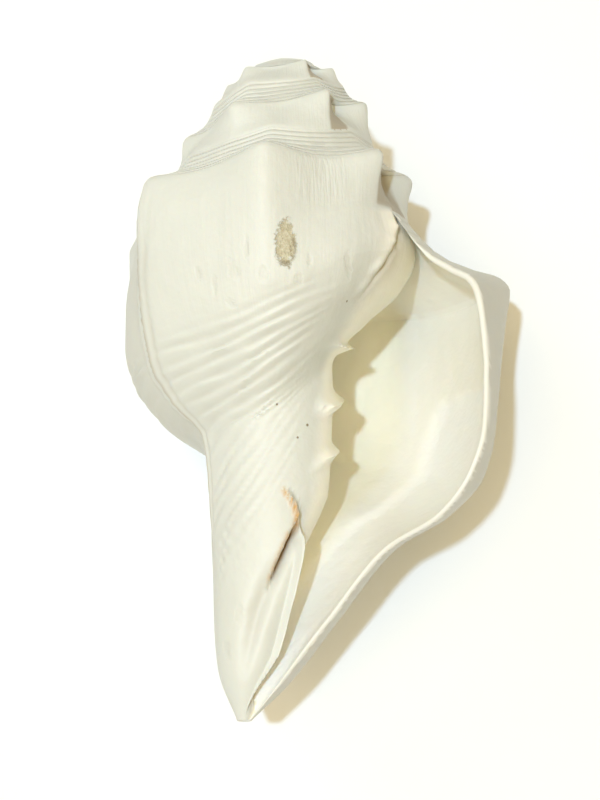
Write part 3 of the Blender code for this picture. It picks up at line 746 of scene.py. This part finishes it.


# %% [markdown]
# ## Outside, spire, pillar and inner skin
#
# Four of the sheets follow straight from the rules above. The outside is the last turn, down to the canal's
# end, and the spire is every turn before it, down to the seam. The pillar and the inner skin line the
# hollow. Light alone doesn't darken a narrow groove as much as on the real shell, so each groove, crease
# and recess gets a mask of painted shade here, and so do the canal's wall and the outside behind the lip.

# %% Outside and spire
RUST_PATH = ((45.0, -82.0, 0.45), (54.0, -75.8, 0.5), (60.0, -70.5, 0.55), (64.0, -65.0, 0.7),
             (66.5, -59.4, 0.9), (71.0, -63.0, 1.0), (75.0, -69.5, 1.0), (77.0, -76.0, 1.0),
             (78.5, -79.0, 0.6), (80.0, -80.0, 0.0))
RUST_WIDTHS = (0.9, 0.9)
SLIT_SHADE_WIDTHS = (1.0, 1.5)
GLAZE_AGES = (0.93, 1.0)
GLAZE_STATIONS = (6.9, 7.1)
RIM_DEEP = 0.5
# Painted shade in the troughs between the cords; the grooves between the threads get the whole groove mask.
TROUGH_SHADE = 0.5
# Painted shade on the canal's wall behind the thin edge.
CANAL_SHADE = 1.9
# Painted shade in the hollow below the slit.
HOLLOW_SHADE = 0.24
# Painted shade beside the crease near the opening.
CREASE_SHADE = 1.7
# Painted shade on the outside just behind the lip.
LIP_SHADE = 0.7
LIP_SHADE_AGES = (0.03, 0.2)
LIP_SHADE_STATIONS = (2.0, 4.0)
STEP_SHADE_END = (6.7, 6.95)

ages = AGES[:PER_TURN + 1]
column = ages[:, None]
outside_points = place(ages, outer_surface(ages, ROWS))
heights = outline(ages, ROWS)[..., 1]
angles = angle_of(column) - 360.0
glaze = smooth_step(*GLAZE_AGES, column) * smooth_step(*GLAZE_STATIONS, ROWS)
trough = np.clip(-cord_wave(column, ROWS) * clear_of_old_lip(column, ROWS), 0.0, 1.0)
# Every part of this mask is painted shade: in the grooves, the cord troughs, the old lip's crease, on the
# canal's wall, beside the sharp knobs, behind the lip, beside the crease and in the hollow.
dirt = np.maximum.reduce([
    groove_mask(column, ROWS),
    TROUGH_SHADE * trough,
    old_lip_dirt(column, ROWS),
    CANAL_SHADE * canal_sink(column, heights),
    step_dirt(column, ROWS) * (1.0 - smooth_step(*STEP_SHADE_END, ROWS)),
    LIP_SHADE * (1.0 - smooth_step(*LIP_SHADE_AGES, column)) * smooth_step(*LIP_SHADE_STATIONS, ROWS),
    CREASE_SHADE * beside_crease(column, ROWS),
    HOLLOW_SHADE * beside_path(angles, heights, HOLLOW_PATH, HOLLOW_WIDTHS),
])
stain = beside_path(angles, heights, RUST_PATH, RUST_WIDTHS)
# Painted shade at the slit's bottom, strongest where the slit is deepest.
dark = beside_path(angles, heights, SLIT_PATH, SLIT_SHADE_WIDTHS) / max(row[2] for row in SLIT_PATH)
outside = wrap_sheet("outside", outside_points, ages, ROWS, glaze=glaze, deep=RIM_DEEP * glaze, dirt=dirt,
                     stain=stain, dark=dark)

ages = AGES[PER_TURN:]
column = ages[:, None]
spire_points = place(ages, outer_surface(ages, upper_rows))
# Painted shade in the spire's grooves and beside its sharp knobs.
spire_dirt = np.maximum(groove_mask(column, upper_rows), step_dirt(column, upper_rows))
spire = wrap_sheet("spire", spire_points, ages, upper_rows, dirt=spire_dirt)

# %% Pillar and inner skin
# The inner skin turns creamy past the flare and past the edge of the pillar's shadow: cream glaze laid on as
# painted shade.
PAST_FLARE_SHADE = 0.35
SHADOW_EDGE_AGES = (0.185, 0.235)
SKIN_MAP_SHIFT = 20.0

ages = cavity_ages
column = ages[:, None]
stations = np.tile(ROWS[SEAM_ROW:], (len(ages), 1))
stations[:, 0] = roof_station(ages)
pillar_points = place(ages + 1.0, outer_surface(ages + 1.0, stations))
pillar_heights = outline(ages + 1.0, stations)[..., 1]
# Painted shade on the canal's wall and beside the crease.
pillar_dirt = np.maximum(CANAL_SHADE * canal_sink(column + 1.0, pillar_heights),
                         CREASE_SHADE * beside_crease(column + 1.0, stations))
pillar_deep = RIM_DEEP + (1.0 - RIM_DEEP) * smooth_step(0.0, LIP_AGE, column)
pillar = wrap_sheet("pillar", pillar_points, ages + 1.0, stations, glaze=1.0, deep=pillar_deep,
                    dirt=pillar_dirt)
skin_points = place(ages, inner_surface(ages, ROWS))
# Painted shade: creamy past the flare, which faces the light, and past the edge of the pillar's shadow.
skin_cream_and_shade = np.maximum(PAST_FLARE_SHADE * (1.0 - flare_mask(column, ROWS)), smooth_step(*SHADOW_EDGE_AGES, column))
skin = wrap_sheet("skin", skin_points, ages, ROWS + SKIN_MAP_SHIFT, glaze=1.0, deep=skin_cream_and_shade)

# %% [markdown]
# ## The lip
#
# The lip is not a cut edge: the snail rounded it off. A narrow sheet joins the outside to the inner skin
# in a half round, which stands a little forward.

# %% Lip
LIP_ROLL = 1.1
LIP_STEPS = 7
LIP_GLAZE = 0.6
# Painted shade on the lip's rounded edge.
LIP_EDGE_SHADE = 0.3


def lip_points():
    """A half round from the outer edge of the lip to the inner one."""
    outer, inner = outside_points[0], skin_points[0]
    angle = math.radians(LIP_ANGLE)
    forward = np.array([math.sin(angle), -math.cos(angle), 0.0]) @ REST_TURN.T
    thickness = np.linalg.norm(outer - inner, axis=1)[:, None]
    share = np.clip(thickness / (LIP_WALL * MM), 0.0, 1.0)
    rows = []
    for turn in np.linspace(0.0, math.pi, LIP_STEPS):
        across_share = (1.0 - math.cos(turn)) / 2.0
        rows.append(outer + (inner - outer) * across_share
                    + forward * LIP_ROLL * MM * math.sin(turn) * share)
    return np.stack(rows)


lip = wrap_sheet("lip", lip_points(), np.zeros(LIP_STEPS), ROWS, glaze=LIP_GLAZE, dirt=LIP_EDGE_SHADE)

# %% [markdown]
# ## One closed piece
#
# The five sheets share their edges point for point, so joining them and merging the doubles sews them
# up. Three holes are left: at the tip of the canal, at the apex and at the far end of the hollow. They
# are filled, and whatever the shell lies on is cut level with the table.

# %% Join, sew and close
MERGE = 0.000004
SMOOTH_ANGLE = 55.0

deselect_all()
for sheet in (spire, pillar, skin, lip, outside):
    sheet.select_set(True)
bpy.context.view_layer.objects.active = outside
bpy.ops.object.join()
shell = bpy.context.object
shell.name = "shell_surface"
shell.data.name = "shell_surface"
bpy.ops.object.mode_set(mode="EDIT")
bpy.ops.mesh.select_mode(type="VERT")
bpy.ops.mesh.select_all(action="SELECT")
bpy.ops.mesh.remove_doubles(threshold=MERGE)
bpy.ops.mesh.dissolve_degenerate(threshold=MERGE)
bpy.ops.mesh.select_all(action="DESELECT")
bpy.ops.mesh.select_non_manifold(extend=False, use_wire=False, use_boundary=True,
                                 use_multi_face=False, use_non_contiguous=False, use_verts=False)
bpy.ops.mesh.fill_holes(sides=0)
bpy.ops.mesh.select_all(action="SELECT")
bpy.ops.mesh.normals_make_consistent(inside=False)
bpy.ops.mesh.bisect(plane_co=(0.0, 0.0, 0.0), plane_no=(0.0, 0.0, 1.0), use_fill=True, clear_inner=True)
bpy.ops.mesh.select_all(action="SELECT")
bpy.ops.mesh.quads_convert_to_tris()
bpy.ops.mesh.normals_make_consistent(inside=False)
bpy.ops.object.mode_set(mode="OBJECT")
bpy.ops.object.shade_smooth_by_angle(angle=math.radians(SMOOTH_ANGLE))
shell.location = (0.0, 0.0, 0.0)
print("triangles:", len(shell.data.polygons))

# %% [markdown]
# ## Finish
#
# The real surface is chalky outside and smooth like porcelain inside, and its grooves look darker; here that
# is painted shade. A painted image would stretch where the turns grow wider, so the finish is made of nodes.
# The masks that came with the sheets say where each colour belongs, and noise makes the edges of the marks
# ragged. Short helpers add the nodes, so that the material further down reads like a list of layers.

# %% Node helpers


def feed(tree, socket, value):
    """Links another socket to this one, or sets this one to a number, a vector or a colour."""
    if isinstance(value, bpy.types.NodeSocket):
        tree.links.new(value, socket)
    elif value is not None:
        socket.default_value = value


def math_node(tree, operation, first, second):
    """Adds a Math node; each value is a number or a socket."""
    node = tree.nodes.new("ShaderNodeMath")
    node.operation = operation
    feed(tree, node.inputs[0], first)
    feed(tree, node.inputs[1], second)
    return node.outputs[0]


def scaled(tree, value, share):
    """A value times a number."""
    return math_node(tree, "MULTIPLY", value, share)


def vector_node(tree, operation, first, second=None):
    """Adds a Vector Math node; its result is a vector, or a value for a length."""
    node = tree.nodes.new("ShaderNodeVectorMath")
    node.operation = operation
    feed(tree, node.inputs[0], first)
    feed(tree, node.inputs[1], second)
    return node.outputs["Value" if operation == "LENGTH" else "Vector"]


def ramp(tree, value, low, high):
    """Goes smoothly from 0 at low to 1 at high."""
    node = tree.nodes.new("ShaderNodeMapRange")
    node.interpolation_type = "SMOOTHSTEP"
    feed(tree, node.inputs["Value"], value)
    feed(tree, node.inputs["From Min"], low)
    feed(tree, node.inputs["From Max"], high)
    return node.outputs["Result"]


def window(tree, value, low, high, soft):
    """1 between low and high, with soft ends."""
    return math_node(tree, "MULTIPLY", ramp(tree, value, low, low + soft),
                     ramp(tree, value, high, high - soft))


def noise_node(tree, vector, scale, detail=3.0, roughness=0.5):
    """Adds a noise texture and gives its value."""
    node = tree.nodes.new("ShaderNodeTexNoise")
    feed(tree, node.inputs["Vector"], vector)
    feed(tree, node.inputs["Scale"], scale)
    feed(tree, node.inputs["Detail"], detail)
    feed(tree, node.inputs["Roughness"], roughness)
    return node.outputs["Fac"]


def mix_colour(tree, share, first, second):
    """Lays a share of the second colour over the first; each is a colour or a socket."""
    node = tree.nodes.new("ShaderNodeMix")
    node.data_type = "RGBA"
    feed(tree, node.inputs[0], share)
    for socket, value in ((node.inputs[6], first), (node.inputs[7], second)):
        feed(tree, socket, value if isinstance(value, bpy.types.NodeSocket) else (*value, 1.0))
    return node.outputs[2]


def new_group(name, inputs, output):
    """Starts a node group that reads vectors and puts out one value."""
    group = bpy.data.node_groups.new(name, "ShaderNodeTree")
    for label in inputs:
        group.interface.new_socket(label, in_out="INPUT", socket_type="NodeSocketVector")
    group.interface.new_socket(output, in_out="OUTPUT", socket_type="NodeSocketFloat")
    return group, group.nodes.new("NodeGroupInput"), group.nodes.new("NodeGroupOutput")


def place_group(tree, group, **inputs):
    """Places a node group, feeds its inputs and gives its value."""
    node = tree.nodes.new("ShaderNodeGroup")
    node.node_tree = group
    for label, value in inputs.items():
        feed(tree, node.inputs[label], value)
    return node.outputs[0]


print("node helpers are ready")

# %% [markdown]
# ## Growth lines and spots
#
# Each old edge of the lip left a fine line across the turn. Noise that is stretched along one axis of the
# growth map looks like such lines, and follows the turns by itself. A spot is a stretched ball, and its
# group tells how far a place is from the ball's middle. One group then serves every pit, dent and scar.

# %% Growth lines and spots
EDGE_LINES = (150.0, 0.35, 1.0)
EDGE_WEIGHT = 0.7
TURN_LINES = (3.0, 14.0, 1.0)
TURN_WEIGHT = 0.15


def growth_group():
    """Fine lines along the lip's old edges and along the turns, as a height."""
    group, start, end = new_group("growth lines", ["Growth"], "Height")
    growth = start.outputs["Growth"]
    edges = noise_node(group, vector_node(group, "MULTIPLY", growth, EDGE_LINES), 1.0, 4.0, 0.6)
    turns = noise_node(group, vector_node(group, "MULTIPLY", growth, TURN_LINES), 1.0, 3.0, 0.6)
    height = math_node(group, "ADD", scaled(group, edges, EDGE_WEIGHT), scaled(group, turns, TURN_WEIGHT))
    feed(group, end.inputs["Height"], height)
    return group


def spot_group():
    """How far a place is from the middle of a spot: 1 at the spot's edge."""
    group, start, end = new_group("spot", ["Place", "Centre", "Size"], "Away")
    here, centre, size = start.outputs[:3]
    shares = vector_node(group, "DIVIDE", vector_node(group, "SUBTRACT", here, centre), size)
    feed(group, end.inputs["Away"], vector_node(group, "LENGTH", shares))
    return group


GROWTH = growth_group()
SPOT = spot_group()
print("node groups:", [group.name for group in bpy.data.node_groups])

# %% [markdown]
# ## Marks of wear
#
# A scar on the last turn has lost its white skin and shows grainy lime, with brown crumbs at its edge.
# Small dark pits and shallow dents lie round it. Each mark is an age and a station, so that it stays on the
# surface when a curve above is changed, and half its size across, along and upwards in millimetres.

# %% Marks of wear
SCAR = ((0.833, 7.55, (3.6, 8.0, 6.5)), (0.834, 7.32, (2.4, 5.6, 7.0)))
CRUMBS = ((0.842, 7.70, (1.4, 4.4, 3.6)), (0.832, 7.98, (2.2, 1.3, 6.0)))
PITS = (
    (0.916, 11.30, (0.5, 0.5, 0.5)), (0.888, 11.35, (0.4, 0.4, 0.4)), (0.816, 10.90, (0.4, 0.4, 0.4)),
    (0.932, 9.45, (0.4, 0.4, 0.4)),
)
DENTS = (
    (0.914, 8.50, (1.2, 6.0, 4.2)), (0.806, 8.05, (1.6, 5.0, 2.6)), (0.770, 7.70, (3.0, 4.0, 1.2)),
    (0.742, 7.90, (1.2, 4.0, 1.8)), (0.787, 7.35, (1.0, 4.0, 4.5)), (0.760, 8.40, (2.0, 4.0, 1.0)),
    (0.724, 7.55, (1.4, 4.0, 1.0)), (0.850, 8.45, (1.6, 4.0, 2.2)), (0.862, 8.05, (1.2, 4.0, 1.6)),
    (0.700, 12.90, (3.0, 4.0, 1.2)), (0.760, 12.60, (2.2, 4.0, 1.4)),
)
GRAIN_SCALE = 700.0
SCAR_RAGGED = 1.3
DENT_WAVY = 2.4


def surface_place(age, station):
    """A point of the outside on the table, in metres."""
    return place(np.array([age]), outer_surface(np.array([age]), np.array([station])))[0, 0]


def from_marks(tree, here, marks):
    """How far a place is from the nearest mark, as a share of the mark's size."""
    nearest = None
    for age, station, size in marks:
        away = place_group(tree, SPOT, Place=here, Centre=surface_place(age, station),
                           Size=tuple(value * MM for value in size))
        nearest = away if nearest is None else math_node(tree, "MINIMUM", nearest, away)
    return nearest


def centred(tree, noise, strength):
    """Noise that swings to both sides of 0, to make an edge ragged."""
    return scaled(tree, math_node(tree, "SUBTRACT", noise, 0.5), strength)


def mark_masks(tree, here, grain):
    """Where the scar, the crumbs at its edge, the pits and the dents are."""
    ragged = centred(tree, grain, SCAR_RAGGED)
    wavy = centred(tree, noise_node(tree, here, 260.0), DENT_WAVY)
    crumbs = ramp(tree, math_node(tree, "ADD", from_marks(tree, here, CRUMBS), ragged), 1.2, 0.8)
    return {
        "scar": ramp(tree, math_node(tree, "ADD", from_marks(tree, here, SCAR), ragged), 1.1, 0.75),
        "crumbs": math_node(tree, "MULTIPLY", crumbs, ramp(tree, grain, 0.46, 0.56)),
        "pits": ramp(tree, from_marks(tree, here, PITS), 1.1, 0.75),
        "dents": ramp(tree, math_node(tree, "ADD", from_marks(tree, here, DENTS), wavy), 1.3, 0.3),
    }


print("pits:", len(PITS), " dents:", len(DENTS))

# %% [markdown]
# ## The shell's material
#
# One Principled BSDF is enough for the whole shell. Its colour is laid on in layers, as a painter would do
# it: chalk, glaze, painted shade, scar, rust and pits. The fine relief is added up to one height, which a
# Bump node reads. Lime lets a little light in, so a small share of subsurface scattering softens the thin
# edges.

# %% Colours and fine relief
CHALK = (0.705, 0.745, 0.735)
CLOUD_SHADE = 0.96
PORCELAIN = (0.955, 0.98, 0.975)
# Cream of the glaze; on the inner skin it also lays painted shade past the flare and the pillar's shadow.
CREAM = (0.965, 0.94, 0.79)
# The colour of the painted shade, also in the dents.
SHADE_COLOUR = (0.42, 0.38, 0.30)
SCAR_COLOUR = (0.68, 0.65, 0.49)
SCAR_GRAIN = (0.52, 0.47, 0.31)
CRUMB_COLOUR = (0.30, 0.24, 0.13)
RUST = (0.60, 0.36, 0.12)
# The colour of the painted shade at the slit's bottom.
SLIT_SHADE = (0.32, 0.22, 0.11)
PIT_COLOUR = (0.25, 0.19, 0.11)
SHARES = {"dirt": 0.35, "scar": 0.8, "crumbs": 0.7, "dents": 0.07, "pits": 0.85}
WRINKLE_LINES = (260.0, 0.9, 1.0)
WRINKLE_AGES = (0.835, 0.925, 0.02)
WRINKLE_STATIONS = (4.2, 6.8, 0.5)
LINES_END = (8.0, 9.5)
HEIGHTS = {"uneven": 2.2, "wrinkles": 1.5, "dents": -0.7, "pits": -1.5, "broken": 4.0}
BUMP_DISTANCE = 0.0004
BUMP_STRENGTH = 0.7
CHALK_ROUGHNESS = 0.5
GLAZE_GLOSS = 0.22


def shell_colour(tree, masks, here, grain):
    """The colour, laid on layer by layer."""
    cloud = noise_node(tree, here, 35.0, 4.0, 0.6)
    shaded = tuple(part * CLOUD_SHADE for part in CHALK)
    colour = mix_colour(tree, ramp(tree, cloud, 0.35, 0.7), CHALK, shaded)
    faint = {label: scaled(tree, masks[label], share) for label, share in SHARES.items()}
    layers = (
        # On the inner skin the creamy share is painted shade, past the flare and past the edge of the
        # pillar's shadow.
        (masks["glaze"], mix_colour(tree, masks["deep"], PORCELAIN, CREAM)),
        # Painted shade, from the mask that came with the sheets.
        (faint["dirt"], SHADE_COLOUR),
        (faint["scar"], mix_colour(tree, ramp(tree, grain, 0.62, 0.42), SCAR_COLOUR, SCAR_GRAIN)),
        (faint["crumbs"], CRUMB_COLOUR),
        # Painted shade in the shallow dents.
        (faint["dents"], SHADE_COLOUR),
        (math_node(tree, "MULTIPLY", masks["stain"], ramp(tree, grain, 0.25, 0.5)), RUST),
        # Painted shade at the slit's bottom.
        (ramp(tree, masks["dark"], 0.2, 0.8), SLIT_SHADE),
        (faint["pits"], PIT_COLOUR),
    )
    for share, layer in layers:
        colour = mix_colour(tree, share, colour, layer)
    return colour


def shell_height(tree, masks, growth, here, grain):
    """The fine relief: growth lines, wrinkles, unevenness and the marks of wear."""
    split = tree.nodes.new("ShaderNodeSeparateXYZ")
    feed(tree, split.inputs[0], growth)
    age, station = split.outputs["X"], split.outputs["Y"]
    wrinkles = noise_node(tree, vector_node(tree, "MULTIPLY", growth, WRINKLE_LINES), 1.0, 2.0, 0.5)
    wrinkled = math_node(tree, "MULTIPLY", window(tree, station, *WRINKLE_STATIONS),
                         window(tree, age, *WRINKLE_AGES))
    parts = {
        "uneven": noise_node(tree, here, 110.0, 3.0, 0.5),
        "wrinkles": math_node(tree, "MULTIPLY", wrinkles, wrinkled),
        "dents": masks["dents"],
        "pits": masks["pits"],
        "broken": math_node(tree, "MULTIPLY", masks["scar"], math_node(tree, "SUBTRACT", grain, 0.85)),
    }
    lined = math_node(tree, "SUBTRACT", 1.0, ramp(tree, station, *LINES_END))
    height = math_node(tree, "MULTIPLY", place_group(tree, GROWTH, Growth=growth), lined)
    for label, part in parts.items():
        height = math_node(tree, "ADD", height, scaled(tree, part, HEIGHTS[label]))
    return height


# %% Shell material


def shell_material():
    """White chalk outside, cream glaze inside, painted shade in the grooves and hollows, and the marks of
    wear.
    """
    material = bpy.data.materials.new("shell")
    material.use_nodes = True
    tree = material.node_tree
    shader = tree.nodes["Principled BSDF"]
    growth = tree.nodes.new("ShaderNodeUVMap")
    growth.uv_map = "growth"
    here = tree.nodes.new("ShaderNodeTexCoord").outputs["Object"]
    grain = noise_node(tree, here, GRAIN_SCALE, 4.0, 0.65)
    masks = mark_masks(tree, here, grain)
    for label in MASKS:
        node = tree.nodes.new("ShaderNodeAttribute")
        node.attribute_name = label
        masks[label] = node.outputs["Fac"]
    feed(tree, shader.inputs["Base Color"], shell_colour(tree, masks, here, grain))

    bump = tree.nodes.new("ShaderNodeBump")
    bump.inputs["Distance"].default_value = BUMP_DISTANCE
    bump.inputs["Strength"].default_value = BUMP_STRENGTH
    feed(tree, bump.inputs["Height"], shell_height(tree, masks, growth.outputs["UV"], here, grain))
    feed(tree, shader.inputs["Normal"], bump.outputs["Normal"])

    roughness = math_node(tree, "SUBTRACT", CHALK_ROUGHNESS, scaled(tree, masks["glaze"], GLAZE_GLOSS))
    feed(tree, shader.inputs["Roughness"], roughness)
    shader.inputs["Subsurface Weight"].default_value = 0.15
    shader.inputs["Subsurface Radius"].default_value = (1.0, 0.6, 0.3)
    shader.inputs["Subsurface Scale"].default_value = 0.003
    return material


shell.data.materials.clear()
shell.data.materials.append(shell_material())
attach(shell, "root")
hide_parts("shell")
print("nodes in the material:", len(shell.data.materials[0].node_tree.nodes))

# %% [markdown]
# ## Floor, light and camera
#
# The shell lies on a wide pale floor. A warm sky fills its shade, as walls and wood do in a room, while the
# camera itself sees a pale backdrop. The camera looks down on the shell from a metre away through a long
# lens, so that nothing is drawn out of proportion, and the main light stands a little left of it.

# %% Floor and backdrop
FLOOR_SIZE = 8.0
FLOOR_COLOUR = (0.93, 0.96, 1.0, 1.0)
WARM_SKY = ((1.0, 0.73, 0.25, 1.0), 0.31)
PALE_SKY = ((0.90, 0.92, 0.92, 1.0), 1.0)

deselect_all()
bpy.ops.mesh.primitive_plane_add(size=FLOOR_SIZE, location=(0.0, 0.0, 0.0))
floor = bpy.context.object
floor.name = "floor"
floor_material = bpy.data.materials.new("floor_white")
floor_material.use_nodes = True
floor_shader = floor_material.node_tree.nodes["Principled BSDF"]
floor_shader.inputs["Base Color"].default_value = FLOOR_COLOUR
floor_shader.inputs["Roughness"].default_value = 0.8
floor.data.materials.append(floor_material)

world = bpy.data.worlds.new("studio")
bpy.context.scene.world = world
world.use_nodes = True
sky = world.node_tree
warm = sky.nodes["Background"]
pale = sky.nodes.new("ShaderNodeBackground")
for node, (colour, strength) in ((warm, WARM_SKY), (pale, PALE_SKY)):
    node.inputs["Color"].default_value = colour
    node.inputs["Strength"].default_value = strength
chosen = sky.nodes.new("ShaderNodeMixShader")
seen = sky.nodes.new("ShaderNodeLightPath").outputs["Is Camera Ray"]
for socket, source in zip(chosen.inputs, (seen, warm.outputs[0], pale.outputs[0])):
    sky.links.new(source, socket)
sky.links.new(chosen.outputs[0], sky.nodes["World Output"].inputs["Surface"])
print("floor, m:", FLOOR_SIZE)

# %% Camera
VIEW_TILT = 15.0
AIM = np.array((4.9, 0.0, 116.0))
DISTANCE = 1000.0

look = np.array((0.0, math.cos(math.radians(VIEW_TILT)), math.sin(math.radians(VIEW_TILT))))
right = np.array((1.0, 0.0, 0.0))
upward = np.cross(right, look)
axes = np.stack([right, upward, -look]) @ REST_TURN.T

camera_data = bpy.data.cameras.new("camera")
camera_data.lens = 125.0
camera_data.sensor_width = 36.0
camera = bpy.data.objects.new("camera", camera_data)
bpy.context.scene.collection.objects.link(camera)
camera.location = lay(AIM - look * DISTANCE)
camera.rotation_euler = Matrix(axes.T.tolist()).to_euler()
bpy.context.scene.camera = camera
print("the camera stands at, m:", [round(value, 3) for value in camera.location])

# %% Lights


def toward_light(left, above):
    """The way from the shell to a light, so many degrees left of the camera and above it."""
    side, rise = math.radians(left), math.radians(above)
    return (-look * math.cos(side) * math.cos(rise) - right * math.sin(side) * math.cos(rise)
            + upward * math.sin(rise))


def add_light(name, kind, left, above, distance, energy, colour):
    """Adds a light that shines on the shell from beside the camera."""
    data = bpy.data.lights.new(name, kind)
    data.energy = energy
    data.color = colour
    light = bpy.data.objects.new(name, data)
    bpy.context.scene.collection.objects.link(light)
    light.location = lay(AIM + toward_light(left, above) * distance)
    to_shell = Vector(lay(AIM)) - light.location
    light.rotation_euler = to_shell.to_track_quat("-Z", "Y").to_euler()
    return data


key = add_light("key", "SUN", left=9.0, above=7.0, distance=900.0, energy=1.58, colour=(0.69, 0.90, 1.14))
key.angle = math.radians(2.0)
soft = add_light("soft", "AREA", left=48.0, above=36.0, distance=900.0, energy=1.2,
                 colour=(0.85, 0.95, 1.0))
soft.size = 0.6
front = add_light("front", "AREA", left=6.0, above=8.0, distance=1300.0, energy=12.0,
                  colour=(1.0, 0.80, 0.50))
front.size = 1.3

bpy.context.scene.view_settings.view_transform = "Standard"
print("lights:", [light.name for light in bpy.data.lights])
